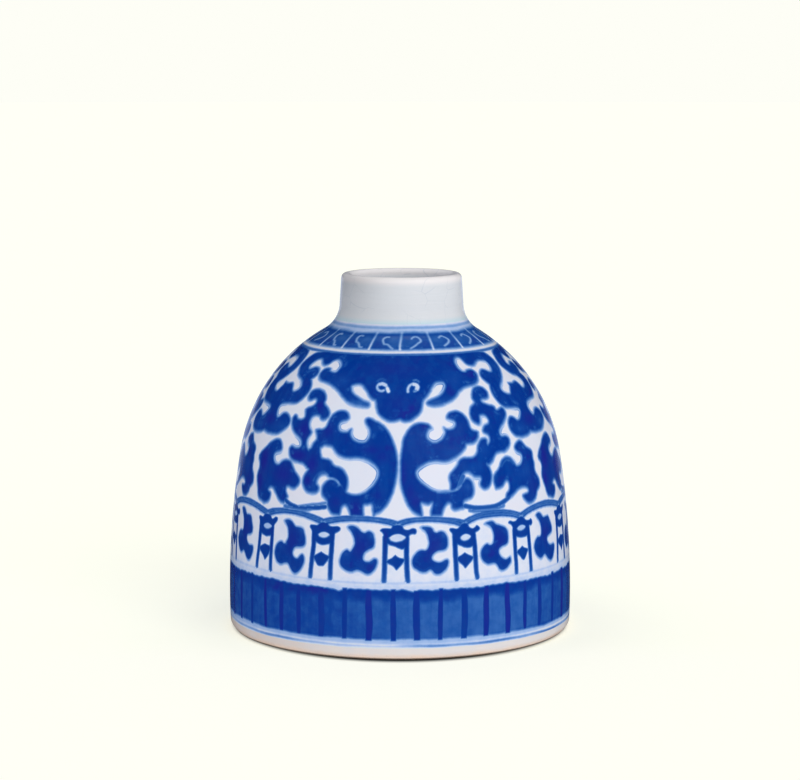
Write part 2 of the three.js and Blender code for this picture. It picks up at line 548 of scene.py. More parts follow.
# The frieze: a beast mask between scrolls, over two dragons back to back. Each shape is
# closed round its runs, which meet in corners, and every point is (turn, run).
maskShape = [
    [(-46, 79.5), (46, 79.5)],
    [
        (46, 79), (44, 77.6), (41, 75.4), (39.4, 75), (37.6, 75.1), (36.2, 75.5), (35.4, 76.2),
        (34.9, 77), (34, 77.8), (32.4, 78.1), (30.8, 77.8), (29.8, 77), (29.4, 76), (29.6, 75),
        (30.4, 74), (31.6, 73.4), (33, 73.3), (34.2, 73.7), (35, 73.8), (36.2, 73.9), (37.4, 73.7),
        (38.4, 73.1), (38.9, 72.3), (38.5, 71.4), (37.5, 70.4), (36, 69.6), (34, 69.2), (32, 69),
        (30, 68.8), (28, 68.4), (26, 67.6), (24, 66.4), (22, 65.5), (20, 64.8), (18, 64.3),
        (16, 64), (13.5, 63.9), (11.8, 64.15), (11, 64.5), (11, 65), (12, 65.5), (13.5, 65.9),
        (15.5, 66.3), (17.2, 66.9), (18.6, 67.7), (19.6, 68.6), (20.2, 69.4), (20.2, 70),
        (19.6, 70.5), (18.2, 70.7), (16.6, 70.6), (15.2, 70.1), (14, 69.2), (12.8, 68),
        (11.5, 66.9), (10.3, 66.1),
    ],
    [
        (10.3, 66.1), (9.5, 65.4), (9, 64.4), (8.6, 63.4), (8, 62.5), (7.2, 61.8), (6, 61.1),
        (4.2, 60.3), (2.4, 59.95), (1, 60.15), (0, 60.45), (-1.2, 60.2), (-3, 60), (-4.6, 60.2),
        (-5.8, 60.6), (-7, 61.1), (-8, 61.7), (-8.7, 62.4), (-9.2, 63.4), (-9.6, 64.6), (-10, 65.6),
    ],
    [
        (-10, 65.6), (-11, 65.8), (-12, 66.2), (-13, 66.9), (-14, 67.8), (-15, 68.6), (-16.5, 69.6),
        (-18, 70), (-19.5, 70), (-21, 69.7), (-21.8, 69.2), (-21.5, 68.5), (-20.8, 67.7),
        (-19.6, 67), (-18, 66.4), (-16.5, 65.9), (-15, 65.4), (-13.6, 65.1), (-12.6, 64.8),
        (-12.2, 64.2), (-12.9, 63.7), (-14, 63.6), (-16, 63.75), (-18, 63.9), (-20, 64.2),
        (-22, 64.9), (-24, 65.9), (-26, 67), (-28, 68), (-30, 68.7), (-32, 69.3), (-34, 69.7),
        (-36, 70), (-38, 70.2), (-39.4, 70.7), (-40.4, 71.4), (-40.9, 72.2), (-40.6, 73),
        (-39.8, 73.7), (-38.6, 74.1), (-37.5, 74.2), (-36.2, 74), (-35.8, 73.4), (-34, 73.1),
        (-32, 73.2), (-31, 74.2), (-30.7, 75.3), (-31.6, 76.2), (-33, 76.9), (-34.6, 77.2),
        (-36.2, 77), (-37.6, 76.4), (-38.8, 75.5), (-40, 75.1), (-41.2, 75), (-42.5, 75.6),
        (-43.4, 76.8), (-45, 78), (-46, 79),
    ],
]
# eyes, left white: run through, width, strength
eyes = [
    ([
        (-7, 68.4), (-7.7, 68.2), (-8.8, 68.3), (-9.7, 68.8), (-10, 69.5), (-9.3, 70.2),
        (-8, 70.45), (-6.6, 70.1), (-5.6, 69.3), (-5, 68.5),
    ], 0.66, 0.88),
    ([(-9, 70.15), (-7.8, 70.3), (-6.4, 69.9)], 0.98, 0.93),
    ([(-5.5, 69), (-4.95, 68.1)], 0.95, 0.97),
    ([(-10.4, 71), (-9.4, 71.5), (-8, 71.75), (-6.6, 71.4)], 0.45, 0.32),
    ([(3.4, 68), (3.4, 68.8), (4, 69.6), (4.9, 70.1), (6.1, 70.35), (7.2, 70.1)], 0.64, 0.9),
    ([(6, 70.2), (7.1, 70), (7.7, 69.4), (7.3, 68.7)], 1.05, 0.94),
    ([(7.4, 68.7), (6.8, 68.2), (6, 68.1)], 0.52, 0.75),
    ([(6.2, 71.3), (7.5, 71.4), (8.5, 70.9)], 0.42, 0.6),
]
rightScroll = [
    [
        (36, 79.5), (44, 79.5), (49, 79.4), (52, 79.1), (54.4, 78.8), (56.2, 77.6), (57.2, 76.2),
        (57.4, 74.8), (57, 73.5), (56.2, 72.4), (55, 71.3), (53.6, 70.3), (52, 69.4), (50.4, 68.6),
        (49.2, 68), (48.6, 67.3), (48.8, 66.6), (49.6, 66), (51, 65.55), (52.5, 65.4), (53.6, 65.7),
        (54.6, 66.6), (55.8, 67.5), (57.2, 68), (59.8, 68.1),
    ],
    [
        (59.8, 55), (57.6, 55.2), (56, 54.6), (54, 54.1), (52, 53.9), (50, 53.9), (48.4, 54.1),
        (47, 54.4), (46, 55), (45.2, 55.8), (44.8, 56.8), (44.9, 57.8), (45.6, 58.7), (46.6, 59.3),
        (48, 59.4), (49.4, 58.9), (50.6, 58.3), (51.8, 58.4), (53, 59), (54, 59.8), (54.6, 60.6),
        (54.2, 61.2), (53, 61.5), (51, 61.7), (49, 61.8), (47, 62), (45.6, 62.3), (44.6, 62.9),
        (43.6, 63.8), (42.8, 64.8), (42.3, 66), (42.3, 67), (42.7, 68), (43.2, 68.8),
    ],
    [
        (43.2, 68.8), (42.6, 69.3), (41.6, 70), (40.6, 71), (40.7, 72), (41.4, 72.7), (42.6, 73.3),
        (43.8, 73.5), (45, 73.3), (46.5, 72.8), (48, 72.4), (49.4, 72.6), (50.4, 73.3),
        (50.8, 74.3), (50.6, 75.3), (49.8, 76), (48.4, 76.3), (46.6, 76.4), (44.8, 76.4),
        (43, 76.1), (41.4, 75.5), (40, 75.1), (37.6, 75.1),
    ],
]
rightKnot = [
    [
        (32.2, 67.3), (33.2, 68.1), (34.6, 68.5), (36.4, 68.6), (38, 68.3), (39.2, 67.6),
        (39.8, 66.8), (39.5, 65.9), (38.6, 65.2), (37.2, 65), (36, 65), (35, 64.7), (35.2, 64.2),
        (36.4, 63.7), (38, 63.2), (39.6, 63), (40.5, 62.6),
    ],
    [
        (40.5, 62.6), (40.8, 61.8), (41.8, 61.7), (43, 62), (44, 62.2), (45, 61.8), (45.4, 61),
        (45.2, 60.2), (44.4, 59.4), (43.2, 58.6), (42, 57.9), (40.8, 57.3), (39.8, 56.6),
        (39.2, 55.9), (39.4, 55.1), (40.2, 54.7), (41.4, 54.8), (42.6, 54.5), (43.2, 53.8),
        (43.1, 52.9), (42.4, 52.1), (41.2, 51.4), (40, 51), (38.4, 50.9), (37, 50.9), (35.8, 50.6),
        (34.8, 49.8), (33.8, 48.9), (32.6, 48.2), (31.3, 48),
    ],
    [
        (30.8, 50.6), (31.5, 52), (32.6, 52.9), (33.9, 53.7), (34.3, 54.6), (34, 55.4),
        (33.2, 55.9), (32.4, 56.2), (32, 56.7), (32.4, 57.3), (33.2, 57.9), (34.2, 58.2),
        (35.2, 58.5), (35.7, 59.2), (35.4, 59.9), (34.6, 60.6), (33.4, 60.8), (32.2, 60.6),
        (31.9, 59.8), (31.6, 58.9), (30.8, 58.5), (29.6, 58.8), (28.6, 59.4), (28.1, 60.4),
        (28.1, 61.4), (28.6, 62.4), (29.4, 63.2), (30.6, 63.7), (31.6, 64.3), (31.1, 65.5),
        (31.5, 66.5),
    ],
]
rightDragon = [
    [
        (11.7, 58.2), (11.2, 58.7), (10.4, 59.2), (9, 59.4), (7.2, 59.5), (5.4, 59.1), (3.8, 58.3),
        (2.4, 57), (1.4, 55.6), (0.9, 54), (0.3, 51), (0.15, 49), (0.2, 46.5), (0.3, 44.5),
        (0.7, 43), (1.4, 41.3), (2.2, 39.8), (3, 38.6), (4, 37.6), (5.2, 36.9), (6.5, 36.4),
        (7.3, 36.2),
    ],
    [
        (7.2, 37.4), (6.9, 38.8), (7.1, 39.6), (8, 39.4), (9.4, 39.2), (10.4, 39.5), (10.9, 39.4),
        (10.6, 38.4), (10.2, 37.2), (10.3, 36.2),
    ],
    [
        (13.8, 36.3), (14.2, 37.3), (14.9, 38.4), (15.7, 39.1), (16.5, 39.3), (17.2, 38.9),
        (17.4, 38.1), (17.9, 37.7), (18.6, 37.5), (20, 37.7), (21.4, 37.9), (21.8, 38.2),
        (21.5, 39), (21.9, 39.6), (23, 39.9), (24.4, 40.3), (25.3, 41.2), (25.6, 42.3),
        (25.4, 43.4), (24.8, 44.4), (23.8, 45), (22.8, 45.1), (22, 44.6), (21.2, 44), (20.4, 43.2),
        (19.4, 42.4), (17, 42.25), (15, 42.2), (13, 42.2), (11, 42.6), (9.4, 43.3), (7.8, 44.2),
        (6.4, 45.2), (5.6, 46.2), (5.5, 47.2), (6.2, 48.1), (8, 49), (10, 49.6), (12, 49.8),
        (14, 49.7), (16, 49.6), (18, 50), (20, 50.6), (22, 51.6), (23.6, 52.7), (24.2, 53.6),
        (25.6, 53.7), (27, 53.8), (28.4, 54.3), (29.4, 55.3), (29.8, 56.4),
    ],
    [
        (29.2, 56.7), (28.2, 56.9), (27.2, 57.4), (26.8, 58.2), (26.6, 59.2), (26.1, 60.3),
        (25.2, 61.2), (24, 61.9), (22.4, 62.3), (20.8, 62.2), (19.4, 61.9), (18.5, 61.3),
        (18.2, 60.7), (18.9, 60.3), (19.9, 60.1), (20.8, 59.8), (21.3, 59.2), (21, 58.4),
        (20, 57.8), (18.6, 57.6), (17.2, 57.8), (16.4, 58.2),
    ],
    [
        (16.9, 57.1), (16.4, 56.2), (15.6, 55.4), (14.4, 54.8), (13, 54.4), (11.6, 54.5),
        (10.4, 55), (9.7, 55.6), (9.6, 56.4), (10, 57.2), (10.6, 57.9),
    ],
]
rightTail = [
    [
        (17, 42), (17.2, 44), (16.9, 45.4), (17.4, 46.5), (18.6, 47.4), (20, 48.5), (21, 49.7),
        (22.4, 50.2), (24, 50.2), (26, 50.2), (27.3, 50.7), (28.1, 51.5), (28.5, 52.5),
        (29.2, 53.6), (30.2, 54.4), (31.4, 54.7), (32.4, 54.7), (32.9, 54.2), (32.8, 53.4),
        (33.2, 52.9),
    ],
    [
        (34.8, 51), (33.8, 48.9), (32.6, 48.4), (31.5, 48.2), (32.3, 47.3), (32.8, 46.2),
        (32.9, 44.8), (32.4, 43.5), (31.4, 42.5), (30.2, 42.1), (29.2, 42.3), (28.3, 43),
        (28.2, 43.7), (28.7, 44.6), (28.3, 45.2), (27.2, 45.3), (26, 45.5), (25, 46.1),
        (23.8, 46.6), (22.4, 46.4), (21.2, 45.4), (20.4, 44.2), (19.8, 43), (18.6, 42),
    ],
]
rightRock = [
    [
        (34.2, 42.1), (33.7, 43.4), (33.8, 44.8), (34.6, 45.8), (35.8, 46.5), (36.8, 47.4),
        (37.6, 48.5), (38.8, 49.2), (40.2, 49.5), (41.8, 49.2), (43, 48.4), (43.8, 47.6),
        (44.6, 46.9), (46, 46.9), (47.2, 47.4), (48, 48.4), (48, 49.4), (47.2, 50), (46.2, 50.3),
        (45.4, 50.8), (45, 51.4), (45.4, 52), (46.4, 52.6), (47.8, 53), (49, 52.9), (50, 52.2),
        (51.2, 51.2), (52.8, 50.6), (53.9, 50), (54.2, 49.2), (54, 48), (54.4, 46.6), (54.2, 45.4),
        (54.6, 44.2), (55.6, 43.2), (56.2, 42.2), (56.2, 41), (55.2, 40.2), (54.2, 39.6),
        (53.6, 38.6), (52.6, 37.8), (51, 37.1), (49.4, 37), (48, 37.4), (47, 38.1), (46.3, 38.8),
        (46.2, 39.3), (47.4, 39.5), (48.6, 39.6), (49.4, 40.1), (49, 40.8), (47.6, 41.3),
        (45.6, 41.3), (44, 40.9), (42.4, 40.2), (41, 39.6), (39.6, 39.2), (38, 39),
    ],
    [
        (38.8, 40.4), (39.8, 41), (40.2, 42), (40, 43), (39.3, 43.6), (38.4, 43.3), (37.4, 42.5),
        (36, 42), (34.4, 41.9),
    ],
]
leftScroll = [
    [
        (-36, 79.5), (-44, 79.5), (-48, 79.4), (-50, 79.2), (-53, 78.8), (-55.4, 78), (-57, 76.6),
        (-58, 75.2), (-58.2, 74.2), (-57.6, 73.2), (-56.4, 72.2), (-55, 71.2), (-53, 70.5),
        (-51, 70), (-49.5, 69.4), (-48.4, 68.6), (-48, 67.8), (-48.6, 67), (-50, 66.4),
        (-51.4, 66.2), (-52.6, 66.6), (-53.4, 67.4), (-54.4, 68.2), (-55.6, 68.5), (-57, 68.4),
        (-58.6, 68.2), (-61.4, 68.4),
    ],
    [
        (-61.4, 55), (-59, 54.6), (-57, 54.4), (-55, 54.4), (-53, 54.4), (-51.4, 54.6), (-50, 55),
        (-48.6, 55.6), (-47.2, 56.3), (-46.2, 57.2), (-46, 58.2), (-46.6, 59), (-48, 59.8),
        (-49.4, 60.2), (-50.8, 60.2), (-52, 59.8), (-53, 59.1), (-54.2, 58.8), (-55.2, 59.2),
        (-55.9, 60), (-56.2, 61), (-55.8, 61.9), (-54.6, 62.5), (-52.6, 62.8), (-50, 63),
        (-47.6, 63.1), (-46, 63.4), (-44.8, 64), (-43.6, 64.9), (-42.5, 66), (-42, 67.2),
        (-42.2, 68.4), (-43, 69.4), (-44.3, 70.3),
    ],
    [
        (-44.3, 70.3), (-43.4, 70.9), (-42.4, 71.6), (-42, 72.4), (-42.4, 73.2), (-43.4, 73.8),
        (-44.8, 74.1), (-46.4, 74), (-47.8, 73.6), (-49, 73.3), (-50.2, 73.4), (-50.9, 74),
        (-50.6, 74.9), (-49.6, 75.8), (-48.2, 76.5), (-46.8, 76.9), (-45.4, 76.8), (-44.2, 76.2),
        (-43.2, 75.6), (-42.2, 75.2), (-41, 75), (-39.6, 75.3), (-38.4, 76),
    ],
]
leftKnot = [
    [
        (-41, 66.4), (-40.2, 67.2), (-38.8, 67.7), (-37, 67.8), (-35, 67.5), (-34, 67.2),
        (-33, 66.6), (-32.2, 65.8), (-31.8, 65), (-31.9, 64.3), (-31.2, 63.6), (-30, 63),
        (-29, 62.3), (-28.4, 61.6), (-28.3, 60.8), (-28.9, 60.2), (-29.6, 59.8), (-30.6, 59.6),
        (-31.6, 59.9), (-32.2, 60.5), (-33.2, 60.7), (-34.4, 60.7), (-35.6, 60.2), (-36.2, 59.4),
        (-36.3, 58.4), (-35.8, 57.4), (-35, 56.8), (-34.2, 56.2),
    ],
    [(-34.2, 56.2), (-34.6, 55.4), (-35.4, 54.4), (-35.6, 53.4), (-35, 52.4), (-34, 51.6)],
    [(-31.8, 51), (-31.8, 47.2)],
    [
        (-33, 46.6), (-33.4, 47.1), (-34.4, 47.6), (-35.6, 48.1), (-37, 48.3), (-38.8, 48.4),
        (-40.6, 48.7), (-41.8, 49.3), (-42.6, 50.3), (-42.9, 51.4), (-42.2, 52.1), (-41.4, 52.1),
        (-40.2, 51.8), (-38.8, 51.9), (-37.8, 52.4), (-37.8, 53.2), (-38.6, 54.1), (-40, 54.8),
        (-41.6, 55.4), (-43, 56.1), (-44, 56.9), (-44.8, 57.8), (-45.2, 58.8), (-45.1, 59.6),
        (-44.4, 60.1), (-43.4, 59.9), (-42.4, 59.3), (-41.2, 59.1), (-40, 59.3), (-39.2, 59.8),
        (-39.2, 60.5), (-39.6, 61.2), (-40, 61.9),
    ],
    [
        (-40, 61.9), (-39.2, 62.3), (-38, 62.7), (-36.8, 63.1), (-36, 63.8), (-36, 64.5),
        (-36.8, 65), (-38, 64.9), (-39.2, 64.5), (-40.4, 64.7), (-41.1, 65.5),
    ],
]
leftDragon = [
    [
        (-13.1, 60), (-12.9, 60.5), (-12.2, 60.7), (-11, 60.6), (-9.6, 60.1), (-8, 59.6),
        (-6.4, 58.9), (-5, 57.9), (-3.8, 56.7), (-2.8, 55.3), (-1.9, 53.6), (-1.2, 51.8),
        (-0.9, 50), (-0.9, 48.2), (-1.2, 46.4), (-1.6, 44.6), (-2.2, 42.8), (-3.1, 41),
        (-4.2, 39.4), (-5.4, 38.2), (-6.8, 37.3), (-8, 36.8), (-8.7, 36.2),
    ],
    [
        (-8.9, 37.6), (-9.1, 38.8), (-9.8, 39.3), (-10.8, 39.1), (-11.8, 39), (-12.2, 38.4),
        (-12.2, 37.2), (-12, 36),
    ],
    [
        (-16.4, 36), (-17, 37.3), (-17.6, 38.2), (-18.4, 38.7), (-19.2, 38.5), (-19.8, 37.8),
        (-20, 36.9), (-20.2, 36.1),
    ],
    [
        (-22.4, 36.2), (-23.4, 36.6), (-24.2, 37.4), (-24.8, 38.4), (-25, 39.3), (-25.8, 40),
        (-26.8, 40.7), (-27.2, 41.7), (-27.1, 42.8), (-26.5, 43.6), (-25.3, 44.4), (-24.2, 44.9),
        (-22.8, 44.8), (-21.6, 44.4), (-20.4, 43.8), (-19.2, 43), (-18.3, 41.9), (-16.6, 41.4),
        (-14.8, 41.3), (-13, 41.6), (-11.4, 42.2), (-9.8, 43.2), (-8.6, 44.2), (-7.6, 45.4),
        (-7.2, 46.6), (-7.4, 47.7), (-8.2, 48.6), (-9.6, 49.4), (-11.4, 50.1), (-13.4, 50.5),
        (-15.6, 50.6), (-18, 50.4), (-20, 50.6), (-21.6, 51), (-23, 51.7), (-24, 52.5), (-24.9, 53),
        (-26.4, 53.2), (-28, 53.2), (-29, 52.6), (-30.4, 52.6), (-31.2, 54.2), (-31.6, 55.4),
        (-32.3, 56.4), (-32.5, 56.9),
    ],
    [
        (-31.4, 57.1), (-30, 57.1), (-28.9, 57.5), (-28.2, 58.3), (-27.9, 59.4), (-27.3, 60.5),
        (-26.4, 61.4), (-25, 62.1), (-23.4, 62.4), (-21.8, 62.3), (-20.6, 61.8), (-19.9, 61),
        (-19.8, 60.4), (-20.6, 60), (-22, 59.7), (-23, 59.2), (-23.4, 58.4), (-23, 57.4),
        (-22, 56.9), (-20.8, 56.8), (-19.6, 56.9), (-18.8, 57.4), (-18.2, 57.7),
    ],
    [
        (-18.4, 56.8), (-18, 56), (-17.2, 55.2), (-16, 54.7), (-14.6, 54.4), (-13, 54.4),
        (-11.8, 54.9), (-11.1, 55.8), (-10.9, 56.8), (-11.3, 57.9), (-12.2, 58.8), (-12.9, 59.5),
    ],
]
leftTail = [
    [
        (-33, 46.8), (-34, 45.9), (-34.8, 44.8), (-35.1, 43.6), (-34.6, 42.5), (-33.6, 41.6),
        (-32.4, 41.1), (-31, 41), (-29.6, 41.2), (-28.6, 41.7), (-28.3, 42.4), (-28.7, 43),
        (-29.4, 43.4), (-29.4, 44.2), (-28.9, 45), (-28.1, 45.7), (-27, 46), (-25.8, 45.9),
        (-25.1, 45.4), (-24.6, 44.9), (-23.6, 44.7), (-22.4, 44.4), (-21.4, 44.1), (-20.8, 43.6),
        (-20.2, 43), (-19.6, 42.2), (-18.4, 41.6),
    ],
    [
        (-17.9, 43.6), (-18, 45), (-18.6, 46.2), (-19.6, 47.2), (-21, 47.8), (-22.6, 48.1),
        (-23.6, 48.5), (-24.6, 49.3), (-25.8, 49.7), (-27.2, 49.8), (-28.4, 50), (-28.9, 50.9),
        (-29.3, 52), (-29.4, 53.4),
    ],
    [
        (-31.2, 54.8), (-32, 53.9), (-32.6, 53.4), (-33.2, 52.2), (-34.2, 51.6), (-34.2, 49),
        (-34, 47.2),
    ],
]
leftRock = [
    [
        (-59.5, 48.2), (-58.1, 49.5), (-55.9, 50.7), (-54, 52), (-51.9, 52.9), (-50, 53.3),
        (-48.3, 53.1), (-47.1, 52.2), (-46.5, 51.1), (-47.3, 50.4), (-48.8, 50.1), (-50, 49.5),
        (-50.2, 48.6), (-49.5, 47.6), (-48.3, 47), (-46.9, 47.1), (-45.7, 47.8), (-44.2, 48.4),
        (-42.6, 48.5), (-41.1, 48.1), (-40, 47), (-38.8, 45.9), (-37.6, 45.1), (-36.6, 44.3),
        (-36.4, 43.4), (-37.1, 42.5), (-38.3, 41.7), (-39.7, 41.7), (-41.1, 42), (-42.1, 41.7),
        (-42, 40.5), (-41, 39.4),
    ],
    [
        (-42.6, 37.7), (-44.2, 37.9), (-45.9, 38.9), (-47.3, 40.1), (-48.3, 40.9), (-49.7, 41.1),
        (-51.1, 40.5), (-50.9, 40), (-49.7, 39.6), (-49.6, 38.8), (-50, 37.9), (-51.1, 37.2),
        (-52.8, 36.8), (-54.5, 37.2), (-56.1, 37.6), (-57.1, 38.6), (-57.7, 40.1), (-58.5, 41.7),
        (-59, 42.9), (-58.6, 44.2), (-58.1, 45.4), (-58.5, 46.7), (-59.4, 47.5),
    ],
]
friezeFills = [
    maskShape, rightScroll, rightKnot, rightDragon, rightTail, rightRock,
    leftScroll, leftKnot, leftDragon, leftTail, leftRock,
]
# soft lines of ground under the dragons
groundLines = [
    ([
        (40.4, 40.2), (39.6, 39.4), (38, 38.7), (36, 38.1), (33.6, 37.6), (30.4, 37.45),
        (27, 37.55), (24.4, 37.8), (22, 38.3),
    ], 0.9, 0.7),
    ([(37, 37.4), (34, 36.9), (30, 36.75), (26, 36.75), (23.6, 37.1)], 0.6, 0.45),
    ([
        (-42.2, 38.7), (-41, 38), (-39, 37.4), (-36.4, 37.05), (-34, 37.05), (-31.4, 37.3),
        (-28.6, 37.5), (-25.6, 37.9),
    ], 0.85, 0.74),
    ([(-36.5, 37.2), (-34, 37.6), (-31, 38.05), (-28, 38.45), (-25.4, 38.9)], 0.5, 0.42),
    ([(-42, 36.9), (-38.4, 36.75), (-35, 36.7), (-32.4, 36.8), (-30.4, 37.2)], 0.7, 0.48),
    ([(20, 43), (21, 44.4), (21.7, 45.6)], 1.2, 0.6),
]
# thin pale lines left in the dark paint: run through, width, strength
leftInPaint = [
    ([(12.6, 42), (15, 41.9), (17.2, 42.1), (19.2, 42.6), (21, 43.3)], 0.5, 0.38),
    ([(37.6, 47.2), (38.8, 48.2), (40.2, 48.7), (41.8, 48.4), (43, 47.4)], 0.4, 0.35),
    ([(-2.6, 62.8), (-1.4, 62.85), (-0.4, 62.8)], 0.36, 0.26),
    ([(1.4, 62.9), (3.2, 62.9)], 0.36, 0.16),
    ([(11.4, 52.6), (11.7, 51.6)], 0.8, 0.12),
    ([(-25.2, 45), (-24, 45.1), (-22.8, 45), (-21.7, 44.5), (-20.9, 43.6)], 0.5, 0.58),
    ([(-30.7, 44.2), (-29.7, 45.5), (-28.2, 46.4), (-26.6, 46.6), (-25.2, 46)], 0.4, 0.3),
]
# where the thin outline stands clear of the fill: turn, run, width, height, strength
keylineSpots = [
    (-8, 46, 5, 5, 0.9), (6.2, 46.8, 6, 5, 0.9), (9, 43.6, 4.5, 2, 0.6), (-15, 51, 9, 1.6, 0.5),
    (13, 50, 10, 1.8, 0.5), (-14, 54.6, 5.5, 3, 1), (12.5, 54.6, 6, 3, 0.9),
    (-23, 58, 3.5, 2.2, 0.7), (21, 58.9, 3.5, 2.2, 0.5), (-21.5, 69, 4.5, 2.6, 0.35),
    (19.5, 69.8, 4, 2.6, 1), (-31, 75, 3.5, 2.4, 0.9), (29.6, 75.6, 3.5, 2.6, 0.8),
    (50.4, 74, 4, 2.6, 0.6), (-50.6, 74, 4, 2.6, 0.6), (-48.2, 67.6, 4, 2.2, 0.6),
    (48.8, 67, 4, 2.2, 0.5), (-29.5, 44.6, 2, 1.6, 0.1), (28.6, 44.6, 4, 2.4, 0.5),
    (-36, 58.4, 3, 2.6, 0.4), (32, 60, 3, 2.4, 0.4), (-55.6, 60.4, 4, 2.6, 0.8),
    (54, 60, 4, 2.6, 0.8), (-38, 53, 4, 2.6, 0.7), (39.6, 55.8, 3.5, 2.4, 0.7),
    (-50, 48.8, 4, 2.4, 0.7), (47.6, 49, 4, 2.4, 0.7),
]
# where the blue was laid on thinner
thinSpots = [
    (-17, 64.6, 5.5, 1.3, 0.8), (15.5, 64.8, 5, 1.2, 0.7), (-27, 70.5, 4, 2, 0.35),
    (25.5, 71, 4, 2.5, 0.4), (-50, 56.5, 4.5, 1.6, 0.5), (51, 56, 4.5, 1.4, 0.5),
    (-30, 43, 4, 1.6, 0.3), (24, 43, 3, 1.4, 0.45), (31, 52, 3, 2, 0.35), (-46, 51, 4, 1.8, 0.3),
    (46.5, 45, 5, 2, 0.35), (-54, 73, 3, 2, 0.3), (54, 74, 3, 2.5, 0.35), (18, 51.6, 3, 1.6, 0.4),
    (26, 47.5, 4, 1.4, 0.35),
]
# where it pooled and fired towards violet
pooledSpots = [
    (-38.5, 50, 4.5, 1.6, 1), (-38, 56.5, 3, 2.6, 0.9), (-32, 48, 2.4, 2.6, 0.9),
    (-33, 44, 1.8, 1.4, 0.9), (-44.5, 44.8, 4.5, 2.8, 0.8), (-55.5, 47.5, 2.6, 3.6, 1),
    (-57, 42, 2.4, 2.6, 0.9), (-59, 58, 4, 1.6, 0.7), (-27.5, 57, 2.4, 2.2, 0.6),
    (-10, 52.6, 3.4, 1, 0.6), (-6, 51, 2.4, 1.6, 0.5), (1.2, 46.5, 1.2, 3.4, 0.6),
    (3.4, 42, 1.6, 2.4, 0.6), (5, 40, 1.8, 1.6, 0.7), (-14.8, 37.8, 2, 2, 0.8),
    (-22, 39.4, 1.8, 1.4, 0.5), (-7.4, 41.4, 1.6, 1.2, 0.45), (-3, 75, 12, 2.6, 0.35),
    (0, 64.5, 6, 2.4, 0.3), (52, 41, 3, 3, 0.4),
]


